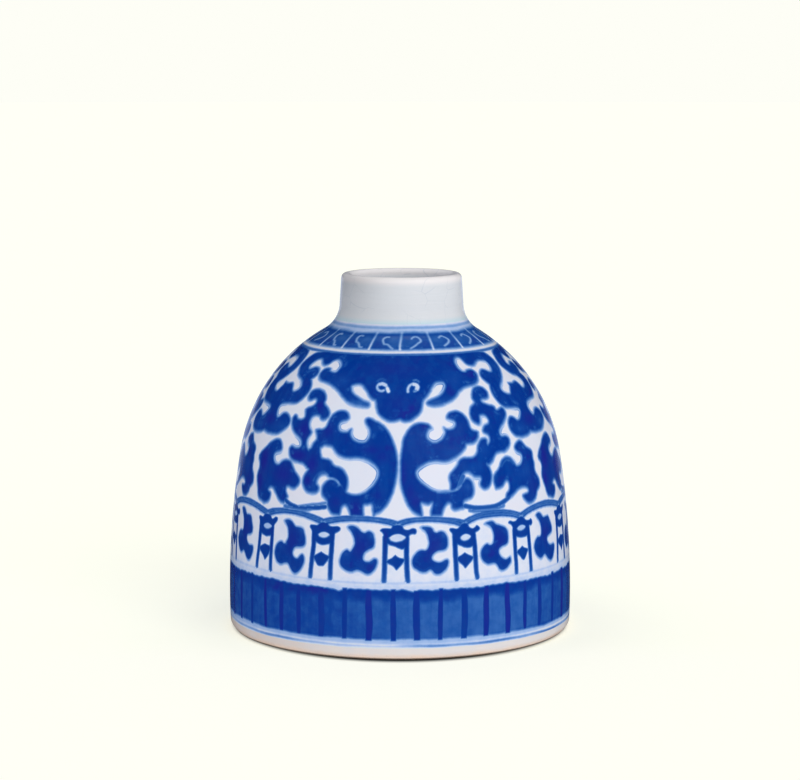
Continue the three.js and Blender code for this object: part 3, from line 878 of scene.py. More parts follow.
# The arcade: a cloud under each arch, a pillar between them
clouds = [
    [
        (-42, 33.2), (-41.2, 33.7), (-39.8, 33.9), (-38.4, 33.6), (-37.4, 33), (-36.6, 32.4),
        (-35.6, 32.3), (-34.4, 32.3), (-33.3, 31.9), (-32.8, 31), (-32.4, 30), (-32.2, 28.8),
        (-32.4, 27.9), (-33.2, 27.3), (-34.6, 27), (-36, 26.9), (-36.8, 26.4), (-37.2, 25.5),
        (-36.8, 24.8), (-36, 24.4), (-35.2, 24.5), (-34.6, 25.1), (-33.8, 25.6), (-33, 25.5),
        (-32.5, 24.8), (-32.4, 23.9), (-32.9, 22.7), (-33.8, 21.5), (-34.9, 20.6), (-36.2, 20.2),
        (-37.4, 20.6), (-38.4, 21.5), (-39.2, 22.4), (-40.2, 22.5), (-41.4, 22.2), (-42.8, 22),
        (-44.2, 22.5), (-45.2, 23.6), (-45.6, 24.9), (-45.3, 26.2), (-44.6, 27.2), (-43.4, 27.9),
        (-42.2, 28.1), (-41.2, 27.7), (-40.4, 28.2), (-39.8, 29.2), (-39.8, 30.4), (-40.2, 31.6),
        (-41, 32.4),
    ],
    [
        (-17.6, 33.3), (-16.6, 33.8), (-15.2, 33.8), (-14, 33.4), (-13, 32.8), (-12.2, 32.3),
        (-11.4, 32.2), (-10.4, 32.6), (-9.4, 32.5), (-8.5, 31.9), (-8.1, 30.8), (-8, 29.6),
        (-8.3, 28.6), (-9.1, 28), (-10.2, 27.6), (-11.2, 27), (-11.7, 26.2), (-11.7, 25.5),
        (-11, 25), (-10, 25), (-9.2, 25.4), (-8.4, 25.8), (-7.5, 25.7), (-7.1, 25), (-7.3, 24),
        (-7.9, 22.9), (-8.8, 22.1), (-10, 21.6), (-11.2, 21.7), (-12.4, 22.2), (-13.6, 22.5),
        (-14.6, 22.3), (-15.6, 22), (-17, 22.1), (-18.4, 22.6), (-19.5, 23.4), (-19.9, 24.4),
        (-19.7, 25.6), (-19.2, 26.6), (-18.4, 27.4), (-17.4, 27.8), (-16.6, 27.6), (-16.2, 27.4),
        (-15.6, 28.2), (-15.1, 29.2), (-15.1, 30.2), (-15.6, 31.2), (-16.4, 32.2), (-17.2, 32.8),
    ],
    [
        (6.6, 33.5), (7.4, 33.8), (8.8, 33.8), (10, 33.6), (10.8, 33.1), (11.2, 32.5), (12, 32.2),
        (13, 32.5), (14.2, 32.4), (15.2, 31.7), (15.7, 30.6), (15.8, 29.4), (15.6, 28.4),
        (14.9, 27.7), (13.6, 27.4), (12.2, 27.2), (11.2, 26.8), (10.6, 26.2), (10.5, 25.6),
        (11.2, 25.1), (12.2, 24.8), (13.4, 24.9), (14.4, 25.3), (15.4, 25.4), (15.9, 24.8),
        (15.8, 23.9), (15.2, 23), (14.2, 22.2), (13, 21.6), (11.8, 21.5), (10.8, 21.9),
        (10.2, 22.5), (9.6, 22.7), (8.8, 22.3), (8, 22.1), (6.8, 22.2), (5.4, 22.7), (4.3, 23.3),
        (3.7, 24.3), (3.7, 25.4), (4.2, 26.4), (5, 27.2), (6, 27.8), (7.2, 28), (8.2, 27.9),
        (8.9, 28.4), (9.2, 29.4), (9, 30.6), (8.6, 31.6), (8, 32.4), (7.2, 32.8),
    ],
    [
        (28.6, 33.4), (29.6, 33.9), (31, 34.1), (32.4, 33.9), (33.4, 33.2), (34.8, 32.8),
        (36.2, 32.4), (37.4, 31.9), (38.1, 31), (38.2, 30), (38.2, 28.8), (37.8, 27.9),
        (36.8, 27.4), (35.4, 27.1), (34.4, 26.7), (34.1, 26), (34.6, 25.2), (35.4, 24.5),
        (36.6, 24.1), (37.6, 24.3), (38.4, 24.6), (38.9, 24.1), (39, 23.2), (38.4, 22.5),
        (37.4, 21.7), (36.2, 21.2), (34.8, 21.1), (33.7, 21.6), (33, 22.5), (32.2, 23.1),
        (31, 23.2), (29.6, 23.1), (28.4, 23.6), (27.4, 24.4), (26.9, 25.4), (26.9, 26.5),
        (27.4, 27.4), (28.4, 28.2), (29.6, 28.6), (30.6, 28.2), (31.4, 28.4), (31.9, 29.3),
        (32, 30.3), (31.6, 31.5), (30.8, 32.5), (29.8, 33),
    ],
    [
        (51.8, 33.6), (52.6, 34.1), (54, 34.2), (55.2, 33.8), (56, 33.1), (56.8, 32.7), (58, 32.8),
        (59.4, 32.8), (60.4, 32.3), (61, 31.4), (61.6, 30.4), (62, 29.4), (61.8, 28.4),
        (60.8, 27.8), (59.4, 27.5), (58.4, 27.2), (58.2, 26.4), (59, 25.6), (60.2, 25.2),
        (61.2, 25.3), (62.4, 25.3), (63.1, 24.7), (63, 23.7), (62.4, 22.6), (61.6, 21.6),
        (60.4, 21), (59.2, 21), (58, 21.5), (57, 22.3), (55.8, 22.9), (54.6, 22.4), (53.4, 22.2),
        (52.2, 22.6), (51, 23.4), (50.2, 24.4), (49.8, 25.6), (50.2, 26.7), (51, 27.6),
        (52.2, 28.2), (53.4, 28.1), (54.2, 28.6), (54.4, 29.6), (54.2, 30.8), (53.6, 31.8),
        (52.6, 32.6),
    ],
]
# the capital: its outer edge, left to right, then the band that closes it
# the moon left white in it: turn, run, half width, half height, how white
# the diamond hung between the posts, and the posts, top to bottom
pillars = [
    {
        "capital": [
            [
                (-54.4, 30.8), (-54.5, 31.8), (-55, 32.6), (-54.9, 33.2), (-54, 33.4),
                (-52.8, 33.3), (-52, 33.9), (-51.2, 34.2), (-50.2, 34.3), (-49, 34.2),
                (-48.2, 33.9), (-47.6, 33.3), (-46.8, 33.5), (-46, 33.9), (-44.9, 33.8),
                (-44.7, 33.1), (-45.4, 32.3), (-46.1, 31.7), (-46.3, 30.8),
            ],
            [(-47.1, 28.8), (-49.2, 28.4), (-50.4, 28.3), (-51.6, 28.5), (-53.5, 29)],
        ],
        "moon": (-49.8, 31.1, 2.2, 0.9, 0.9),
        "diamond": [
            (-50.6, 26.7), (-49.3, 26.5), (-47.7, 26.2), (-47.7, 24.6), (-48.8, 23.2),
            (-50.3, 22.2), (-51.4, 23.2), (-53.3, 24.5), (-53.5, 25.5), (-51.8, 26.3),
        ],
        "posts": [
            [(-53.5, 31), (-53.6, 28), (-53.9, 25), (-54.5, 21.5), (-54.6, 20.2)],
            [(-47.1, 31), (-47.1, 28), (-47.2, 25), (-47.2, 21.5), (-47.1, 20.1)],
        ],
    },
    {
        "capital": [
            [
                (-30.1, 30.8), (-30.4, 31.8), (-31.1, 32.6), (-30.7, 33.2), (-29.6, 33.3),
                (-28.2, 33.3), (-27.5, 33.8), (-26.8, 34.1), (-26, 34.2), (-25, 34.1), (-24.2, 34),
                (-23.6, 33.4), (-22.2, 33.3), (-20.8, 33.4), (-19.7, 33), (-19.7, 32.3),
                (-20.6, 31.7), (-21.4, 31.4), (-21.7, 30.6),
            ],
            [(-22.6, 28.8), (-24.4, 28.4), (-26, 28.2), (-27.2, 28.4), (-29.2, 29.2)],
        ],
        "moon": (-25.6, 30.9, 2.1, 0.9, 0.96),
        "diamond": [
            (-26.3, 26.9), (-25, 26.3), (-23.1, 25.6), (-23.6, 24.6), (-24.6, 23.6), (-25.5, 22.9),
            (-27.4, 22.9), (-28.3, 23.7), (-29.3, 25.3), (-27.5, 26.3),
        ],
        "posts": [
            [(-29.2, 31), (-29.2, 28), (-29.6, 25), (-29.95, 22), (-30.1, 20.1)],
            [(-22.5, 31), (-22.6, 28), (-22.8, 25), (-22.9, 22), (-22.9, 20)],
        ],
    },
    {
        "capital": [
            [
                (-5.4, 30.8), (-5.6, 31.8), (-6.6, 32.7), (-5.8, 33.3), (-4.4, 33.4), (-3, 33.4),
                (-2.5, 34.1), (-1.7, 34.2), (-0.8, 34.3), (0.2, 34.2), (0.9, 33.9), (1.4, 33.2),
                (2.6, 33), (4.2, 33.4), (5.3, 33.1), (5.5, 32.3), (5, 31.7), (3.9, 31.7),
                (3.2, 31.4), (3, 30.6),
            ],
            [(2.1, 28.4), (0.7, 27.9), (-0.4, 28.2), (-1.6, 28.6), (-3, 28.9), (-4.8, 29.5)],
        ],
        "moon": (-0.9, 30.9, 2.7, 1.15, 0.97),
        "diamond": [
            (-1.5, 26.9), (-0.3, 26.2), (1.9, 25.7), (1.3, 24.7), (-0.1, 23.4), (-1.2, 22.7),
            (-2.4, 23.7), (-4.5, 24.6), (-4.5, 25.3), (-2.7, 26.1),
        ],
        "posts": [
            [(-4.8, 31), (-4.8, 28), (-4.9, 25), (-5, 22), (-5.1, 20.1)],
            [(2.2, 31), (2.1, 28), (2.15, 25), (2.3, 22), (2.5, 20.1)],
        ],
    },
    {
        "capital": [
            [
                (17.2, 30.8), (17, 31.6), (16.2, 32.3), (16.3, 33), (17.4, 33.1), (18.8, 32.9),
                (19.7, 33.4), (20.2, 34), (20.8, 34.1), (21.6, 34.2), (22.4, 34.1), (22.9, 33.7),
                (23.4, 33), (24.4, 32.7), (25.2, 33), (25.9, 33.4), (26.8, 33), (27.2, 32.3),
                (26.4, 31.7), (25.5, 31.4), (25.3, 30.6),
            ],
            [(24.9, 28.1), (22.8, 27.7), (21.2, 27.9), (19.8, 28.4), (18, 29)],
        ],
        "moon": (21.7, 30.5, 1.9, 1, 0.96),
        "diamond": [
            (21.3, 27), (22.4, 26.4), (24.6, 25.5), (24, 24.5), (22.6, 23.4), (21.4, 22.6),
            (20.5, 23.3), (18.8, 24.6), (18.4, 25.6), (20.2, 26.4),
        ],
        "posts": [
            [(18, 31), (18.05, 28), (18.15, 25), (18.3, 22), (18.4, 20.1)],
            [(24.6, 31), (24.9, 28), (25.05, 25), (25.2, 22), (25.6, 20)],
        ],
    },
    {
        "capital": [
            [
                (39.9, 30.8), (40, 31.6), (39.4, 32.3), (38.4, 32.7), (38.4, 33.3), (39.4, 33.5),
                (40.6, 33.2), (41.8, 33.3), (42.7, 33.9), (43.4, 34.1), (44.4, 34.2), (45.3, 34),
                (45.9, 33.6), (46.8, 33), (48.2, 32.9), (49, 33.2), (49.8, 32.7), (49.9, 31.8),
                (49, 31.2), (48.3, 31.3), (48.1, 30.6),
            ],
            [(47.4, 28.8), (44.8, 28.6), (43, 28.7), (40.8, 29.2)],
        ],
        "moon": (44.1, 31.2, 2.1, 0.85, 0.92),
        "diamond": [
            (44, 26.9), (45, 26.3), (47.1, 25.6), (46.6, 24.7), (45.6, 23.5), (44.7, 22.8),
            (43.6, 23.1), (42.6, 24), (41.4, 24.9), (41.4, 25.6), (43, 26.3),
        ],
        "posts": [
            [(40.8, 31), (40.8, 28), (40.85, 25), (41, 22), (41, 20)],
            [(47.3, 31), (47.5, 28), (47.7, 25), (47.9, 22), (48, 19.9)],
        ],
    },
]
# each arch, its upper line and its lower one
arches = [
    (
        [
            (-50.3, 34.8), (-48, 35.45), (-44, 35.95), (-39, 36.1), (-34, 35.9), (-30.4, 35.5),
            (-28.2, 35.1), (-26, 34.6),
        ],
        [
            (-49, 34.1), (-46, 34.8), (-42, 35.35), (-38, 35.45), (-34, 35.2), (-31, 34.7),
            (-29, 34.3), (-27.2, 33.9),
        ],
    ),
    (
        [
            (-26.2, 34.5), (-24, 35), (-20.7, 35.5), (-16.9, 35.8), (-11, 35.85), (-6.6, 35.6),
            (-3.4, 35.25), (-0.8, 34.7),
        ],
        [
            (-24.6, 33.9), (-20.7, 34.6), (-16.9, 35), (-11, 35.1), (-6.6, 34.85), (-3.4, 34.4),
            (-2, 33.9),
        ],
    ),
    (
        [
            (-0.8, 34.6), (1.2, 35.2), (4, 35.6), (8, 35.8), (12, 35.7), (16, 35.35), (19, 35),
            (21.6, 34.5),
        ],
        [
            (0.6, 34.2), (3.6, 34.9), (8, 35.1), (12, 34.95), (15.4, 34.6), (18.2, 34.15),
            (20.2, 33.5),
        ],
    ),
    (
        [
            (21.3, 34.5), (23, 35.1), (24.6, 35.5), (27, 36.05), (31, 36.4), (35, 36.35),
            (39, 35.85), (42, 35.25), (44.6, 34.6),
        ],
        [(22.8, 34), (25, 34.7), (28, 35.15), (32, 35.25), (36, 35.1), (40, 34.6), (43.2, 33.9)],
    ),
    (
        [
            (44.2, 34.6), (46.4, 35.25), (50, 35.95), (54, 36.3), (59, 36.4), (64, 35.9),
            (67.4, 35.3), (69.8, 34.8),
        ],
        [(45.6, 34), (48, 34.7), (52, 35.3), (57, 35.5), (62, 35.2), (66, 34.6), (69, 34)],
    ),
]
# slivers left lighter inside the clouds, left to right
cloudSlivers = [
    ([(-41.2, 28), (-40.2, 27.5)], 0.45, 0.35),
    ([(-14.9, 29.4), (-15.3, 28.5), (-16.4, 27.8)], 0.4, 0.4),
    ([(30, 28.3), (32, 28.5), (33.4, 28.9)], 0.35, 0.3),
    ([(34.6, 25.9), (34.9, 24.9)], 0.4, 0.25),
]
arcade = {
    "cloud": {"load": 1.0, "inset": 0.32},
    "cloudOver": {"load": 0.84, "inset": 0.34},
    "capital": {"load": 0.92, "inset": 0.30},
    # a lens, flatter on top
    "moon": [
        (-1.1, 0), (-0.5, 0.75), (0.3, 0.95), (1.1, 0.2), (0.6, -0.7), (-0.2, -1), (-0.8, -0.7),
    ],
    "moonInset": 0.15,
    "diamond": {"load": 0.92, "inset": 0.38},
    # run heights, and the load of pigment at each
    "post": {"width": 0.92, "load": ([19.8, 21, 25, 29], [0.55, 0.74, 0.84, 0.95])},
    "archOver": {"width": 0.34, "load": 0.76},
    "archUnder": {"width": 0.34, "load": 0.80},
    "archWash": {"load": 0.72},
    # where a cloud starts, and in it from there: turn, run, width, height, strength
    "cloudTurns": [-42.5, -17.5, 6, 29.5, 52.5],
    "thinner": [
        (1.4, 33.1, 1.8, 0.7, 0.6), (8.4, 31.4, 1.5, 1.2, 0.6),
        (-0.4, 26.6, 1.8, 0.8, 0.4), (8.6, 24.8, 1.5, 0.9, 0.4),
    ],
    "pooled": (4.6, 28.6, 3, 3, 0.6),
    # the faint line under the clouds
    "faint": {"run": 19.6, "waves": [(0.08, 5, 0)], "half": 0.12, "load": 0.05},
}


def paintArcade(canvas):
    a = arcade
    for cloud in clouds:
        canvas.fill("cobalt", [cloud], thirds, **a["cloud"])
        canvas.fill("line", [cloud], thirds, **a["cloudOver"])
    for pillar in pillars:
        canvas.fill("line", pillar["capital"], thirds, **a["capital"])
        turn, run, half, tall, bared = pillar["moon"]
        moon = [(turn + half * x, run + tall * y) for x, y in a["moon"]]
        canvas.fill("pale", [moon], thirds, bared, a["moonInset"])
        canvas.fill("line", [pillar["diamond"]], thirds, **a["diamond"])
        for post in pillar["posts"]:
            canvas.stroke("line", post, thirds, **a["post"])
    for points, width, load in cloudSlivers:
        canvas.stroke("pale", points, thirds, width, load)
    for over, under in arches:
        canvas.stroke("line", over, thirds, **a["archOver"])
        canvas.stroke("line", under, thirds, **a["archUnder"])
        canvas.fill("soft", [over, under[::-1]], thirds, **a["archWash"])
    for turn in a["cloudTurns"]:
        for shift, *place in a["thinner"]:
            canvas.spot("tone", (turn + shift, *place), thirds)
        shift, *place = a["pooled"]
        canvas.spot("violet", (turn + shift, *place), thirds)
    faint = a["faint"]
    canvas.ring(faint["run"] + canvas.waver(faint["waves"]), faint["half"], faint["load"])


# The petal band over the foot
petals = {
    "frontLines": [
        -57.2, -49.5, -41.8, -34.5, -26, -17.8, -10, -2,
        5.4, 13.1, 20.8, 28.8, 37, 44.8, 52.2, 60.5,
    ],
    "lines": 45,
    "seed": 11,
    "lineFoot": 5.3,
    "lineTop": 17.7,
    "lineWidth": 1.60,
    # shares of the width up a line, which starts and ends a little past the wash
    "lineTaper": [0.85, 1.05, 1.0, 0.85],
    "linePast": 1.0,
    # drawn anew for each line
    "sway": (-0.25, 0.25),
    "footVaries": (-0.1, 0.1),
    "topVaries": (-0.2, 0.3),
    "widthVaries": (0.74, 1.22),
    "violetVaries": (0.1, 0.9),
    # where a line stands over bare white it looks as wide as where it crosses the wash
    "lineThinner": ([5.3, 6.2, 17.0, 17.8], [0.36, 0.0, 0.0, 0.40]),
    "violetRise": 4.0,
    # the wash: its foot and top with the ends of the brush along them, and two dips
    "washFoot": 5.5,
    "footWaves": [(0.05, 31, 0), (0.06, 17, 1)],
    "footSlope": ([-60, -48, 0, 20, 40, 56, 75], [0, -0.22, 0.02, 0, -0.2, -0.45, -0.2]),
    "washTop": 17.75,
    "topWaves": [(0.084, 22.5, 0.7), (0.056, 61, 0), (0.098, 8, 2), (0.07, 131, 0)],
    "topFalls": ([36, 44], [0, 0.25]),
    "dips": [(-20, 2, 0.35), (3.8, 1.6, 0.5)],  # turn, width, depth
    "crisp": 2.0,
    "washLoads": (
        [-180, -95, -20, 0, 38, 62, 100, 180],
        [0.60, 0.70, 0.76, 0.60, 0.55, 0.72, 0.66, 0.60],
    ),
    # the border was brushed over the tops of the petals and runs down into them
    "borderFoot": 14.6,
    "borderWaves": [(0.35, 13, 2), (0.25, 37, 0)],
    "borderRuns": 2.0,
    "borderLoad": 0.98,
    # the line round the foot, and where it is fainter
    "ringRun": 3.65,
    "ringHalf": 0.18,
    "ringWaves": [(0.05, 9, 1), (0.04, 23, 0)],
    "ringFollows": 0.8,  # how far it takes after the foot of the wash
    "ringLoad": 0.42,
    "ringLoadWaves": [(0.10, 14, 0)],
    "ringFaint": (-12, 20, 0.72),  # turn, width, how much
    "ringSides": ([-72, -58, 60, 90], [0.35, 0.8, 1.0, 0.8]),
    "stain": (
        [3.9, 4.4, 5.2, 6.0, 16.0, 17.6, 19.4, 21.0, 33.0, 36.0],
        [0.0, 0.12, 0.15, 0.0, 0.0, 0.085, 0.045, 0.028, 0.022, 0.006],
    ),
}


def paintPetalLines(canvas):
    p = petals
    front = p["frontLines"]
    behind = p["lines"] - len(front)
    gap = (front[0] + 360 - front[-1]) / (behind + 1)
    turns = front + [front[-1] + gap * (i + 1) for i in range(behind)]
    rng = np.random.default_rng(p["seed"])
    taper = np.array(p["lineTaper"])
    runs = np.linspace(p["lineFoot"] - p["linePast"], p["lineTop"] + p["linePast"], len(taper))
    everywhere = np.ones(len(canvas.turn), dtype=bool)
    violet = canvas.field("violet", 0.0)
    for middle in turns:
        sway = rng.uniform(*p["sway"], len(runs))
        foot = p["lineFoot"] + rng.uniform(*p["footVaries"])
        top = p["lineTop"] + rng.uniform(*p["topVaries"])
        width = p["lineWidth"] * rng.uniform(*p["widthVaries"]) * taper
        route = smoothRun([(middle + s, r) for s, r in zip(sway, runs)])
        local = (canvas.turn - middle + 180) % 360 - 180 + middle
        chosen, away = canvas.reach(local, everywhere, 1.0, route, False, brush["reach"])
        run = canvas.run[chosen]
        inside = away + (np.interp(run, runs, width) - np.interp(run, *p["lineThinner"])) / 2
        cut = np.minimum(run - foot, top - run)
        canvas.lay("line", chosen, np.minimum(inside, cut), 1.0)
        fired = np.clip(inside * p["violetRise"], 0, 1) * rng.uniform(*p["violetVaries"])
        violet[chosen] = np.maximum(violet[chosen], fired)


def paintPetals(canvas):
    paintPetalLines(canvas)
    p = petals
    turn, run = canvas.turn, canvas.run
    slope = np.interp(turn, *p["footSlope"])
    foot = p["washFoot"] + canvas.waver(p["footWaves"]) + slope
    top = p["washTop"] + canvas.waver(p["topWaves"]) - np.interp(turn, *p["topFalls"])
    for middle, width, depth in p["dips"]:
        top = top - depth * np.exp(-(((turn - middle) / width) ** 2))
    wash = np.minimum(top - run, run - foot) * p["crisp"]
    petal = np.interp(turn, *p["washLoads"])
    border = run - p["borderFoot"] - canvas.waver(p["borderWaves"])
    border = np.clip(border / p["borderRuns"], 0, 1)
    canvas.layRound("soft", wash, petal + (p["borderLoad"] - petal) * border)
    middle, width, weight = p["ringFaint"]
    drawn = (p["ringLoad"] + canvas.waver(p["ringLoadWaves"])) * np.interp(turn, *p["ringSides"])
    drawn = drawn * (1 - weight * np.exp(-(((turn - middle) / width) ** 4)))
    follows = canvas.waver(p["ringWaves"]) + slope * p["ringFollows"]
    canvas.ring(p["ringRun"] + follows, p["ringHalf"], drawn)
    canvas.stain(*p["stain"])


# The collar band under the neck: panels with a curl in each
dividers = [
    [(-58, 81.3), (-58, 87.9)],
    [(-37.9, 81.3), (-38.2, 84.5), (-38.3, 87.6)],
    [(-19.2, 81.3), (-19, 84.5), (-18.5, 87.9)],
    [(-0.2, 81.4), (-0.3, 83), (0.2, 85.5), (0.7, 88)],
    [(20.3, 81.3), (20.5, 84.5), (20.6, 87.9)],
    [(40.8, 81.3), (41, 84.5), (41.2, 87.9)],
]
# each curl, and how far it is shifted for each panel that has it
curls = [
    ([
        (-28.6, 86.4), (-30.2, 86.5), (-31.6, 86), (-31.8, 85.2), (-31.2, 84.5), (-30.4, 83.9),
        (-29.2, 83.7), (-28, 83.3), (-27, 82.7), (-26, 82.1), (-24.4, 82),
    ], (-20, 0)),
    ([
        (-8.4, 86.3), (-9.8, 86.3), (-11.2, 86), (-12.1, 85.5), (-12.1, 84.9), (-11.5, 84.2),
        (-10.6, 83.5), (-9.4, 83.4), (-8.2, 83.3), (-7, 82.7), (-5.8, 82.1), (-4.8, 81.8),
    ], (0,)),
    ([
        (7.6, 85.6), (8.5, 86.1), (9.9, 86.4), (11.2, 86.4), (12.6, 86), (13.6, 85.3), (13.7, 84.7),
        (13, 84.2), (11.6, 83.8), (10.4, 83.3), (9.2, 82.8), (7.8, 82.3), (6.4, 81.9),
    ], (0,)),
    ([
        (28, 85.7), (29.2, 86.1), (30.8, 86.3), (32.4, 85.9), (33.8, 85.3), (34.4, 84.6),
        (33.6, 83.9), (32, 83.3), (30.2, 82.8), (28.8, 82.4),
    ], (0, 20.5)),
]
collar = {
    "foot": 81.35,
    "top": 87.85,
    "waves": [(0.10, 5, 1), (0.06, 13, 0)],
    "topSways": 1.5,
    "ringSways": 0.5,
    # run heights, and the load of pigment at each
    "loads": ([81.2, 82.8, 85.0, 87.4], [0.84, 0.69, 0.65, 0.80]),
    "divider": {"width": 0.50, "load": ([82.0, 85.0, 88.0], [0.92, 0.78, 0.52])},
    "curl": {"width": 0.44, "load": 0.78},
    # the lines below and above the panels: run, half width, load
    "rings": [(79.45, 0.34, 0.50), (89.5, 0.21, 0.17)],
    "stain": (
        [80.2, 80.8, 81.4, 87.9, 88.5, 89.5, 90.1, 90.7],
        [0.0, 0.03, 0.0, 0.0, 0.09, 0.09, 0.05, 0.02],
    ),
    # violet pools, and thinner paint beside each: run, width, height, strength
    "pooledTurns": [-54, -33, -14, 16, 35, 56],
    "pooled": (83.8, 4, 1.6, 0.8),
    "thinner": (85.2, 3, 1.3, 0.35),
    "thinnerShift": 9,
}


def paintCollar(canvas):
    c = collar
    sway = canvas.waver(c["waves"])
    top = c["top"] + sway * c["topSways"]
    panel = np.minimum(top - canvas.run, canvas.run - c["foot"])
    canvas.layRound("cobalt", panel, np.interp(canvas.run, *c["loads"]))
    for run, half, load in c["rings"]:
        canvas.ring(run + sway * c["ringSways"], half, load)
    canvas.stain(*c["stain"])
    for turn in c["pooledTurns"]:
        canvas.spot("violet", (turn, *c["pooled"]), thirds)
        canvas.spot("tone", (turn + c["thinnerShift"], *c["thinner"]), thirds)
    for divider in dividers:
        canvas.stroke("pale", divider, thirds, **c["divider"])
    for curl, shifts in curls:
        for shift in shifts:
            canvas.stroke("pale", [(t + shift, r) for t, r in curl], thirds, **c["curl"])


def paintFrieze(canvas):
    for shape in friezeFills:
        canvas.fill("cobalt", shape, frieze)
    for points, width, load in groundLines:
        canvas.stroke("line", points, frieze, width, load)
    for points, width, load in leftInPaint + eyes:
        canvas.stroke("pale", points, frieze, width, load)
    for name, spots in (("keyline", keylineSpots), ("tone", thinSpots), ("violet", pooledSpots)):
        for place in spots:
            canvas.spot(name, place, frieze)


# Glazes
def freshMaterial(name):
    material = bpy.data.materials.new(name)
    material.use_nodes = True
    material.node_tree.nodes.clear()
    return material, NodeSheet(material.node_tree)


def finishGlaze(sheet, colour, roughness, height, strength):
    relief = {"Strength": strength, "Distance": 0.6 * mm, "Height": height}
    inputs = {"Base Color": colour, "Roughness": roughness, "IOR": 1.5}
    inputs["Normal"] = sheet.add("ShaderNodeBump", {}, relief)
    shader = sheet.add("ShaderNodeBsdfPrincipled", {}, inputs)
    sheet.add("ShaderNodeOutputMaterial", {"target": "ALL"}, {0: shader})


def shineOf(sheet, at, low, high):
    # the glaze is a little rougher in places
    return sheet.level(sheet.noise(at, 0.6, 2.0), 0.3, 0.7, low, high)


def millimetres(sheet):
    coordinates = sheet.add("ShaderNodeTexCoord", {}, {}, output=3)
    return sheet.add("ShaderNodeVectorMath", {"operation": "SCALE"}, {0: coordinates, 3: 1 / mm})


def stretched(sheet, vector, x, y, z):
    return sheet.add("ShaderNodeVectorMath", {"operation": "MULTIPLY"}, {0: vector, 1: (x, y, z)})


def lengthOf(sheet, vector):
    return sheet.add("ShaderNodeVectorMath", {"operation": "LENGTH"}, {0: vector}, output=1)


paint = {
    "ground": pigment(225, 234, 247),
    "groundWarm": pigment(232, 228, 239),
    "groundFoot": pigment(222, 227, 230),
    "violet": pigment(28, 31, 146),
    "bright": pigment(0, 70, 158),
    # the blue from its thinnest veil to a full load of pigment
    "loads": [
        (0.00, pigment(222, 230, 245)), (0.07, pigment(190, 209, 242)),
        (0.14, pigment(160, 189, 234)), (0.24, pigment(121, 162, 219)),
        (0.36, pigment(86, 134, 202)), (0.50, pigment(54, 108, 185)),
        (0.66, pigment(30, 88, 171)), (0.82, pigment(8, 68, 160)),
        (1.00, pigment(0, 56, 151)),
    ],
    # noises: scale, detail, roughness
    "fine": (0.8, 3.0, 0.6),
    "blotch": (0.14, 3.0, 0.55),
    "cloudy": (0.38, 3.0, 0.6),
    "streak": (0.42, 3.0, 0.60),
    "streakStretch": (1.0, 1.0, 0.16),
    # how a brushed edge fades: outside it, inside it, how steeply
    "fullBrush": (0.85, 0.65, 1.6),
    "thinWash": (0.8, 0.7, 1.2),
    # how far the fine noise pushes each kind of edge
    "edgeWander": 0.34,
    "washWander": 0.50,
    "lineWander": 0.20,
    "paleWander": 0.15,
    "lineEdge": (-0.45, 0.28),
    "paleEdge": (-0.45, 0.25),
    # where and how much the full brush thins out
    "thinInside": (0.3, 0.8),
    "thinUntil": (1.1, 2.4),
    "thinCloudy": (0.50, 0.68, 0.30),
    "thinStreaks": (0.40, 0.72, 0.10),
    "thinTone": 0.45,
    "lineTone": 0.30,
    # the wash is this much, and so much more of the streak, the cloudy noise and the tone
    "washMix": (0.58, 0.42, 0.46, -0.50),
    # the outline drawn first: how far out it stands, how it fades, its load, the load inside it
    "outlineAt": 0.62,
    "outlineFade": (0.04, 0.32),
    "outlineLoad": 0.36,
    "betweenFade": (-0.85, -0.45),
    "betweenLoad": 0.21,
    # a veil of blue over everything, and where the ground ends
    "haze": (0.35, 0.75, 0.022),
    "groundEnds": (0.0, 0.10),
    "footRuns": (3.2, 5.4),
    # brighter streaks and violet pools, where there is a full load
    "full": (0.75, 1.0),
    "brightStreaks": (0.45, 0.75, 0.55),
    "pools": (0.56, 0.74, 0.70),
    "violetFrom": (0.40, 0.85, 0.85),
    # the relief: its two noises and the share of the finer one
    "relief": ((0.11, 2.0), (1.5, 2.0), 0.03),
    "roughness": (0.11, 0.20),
}


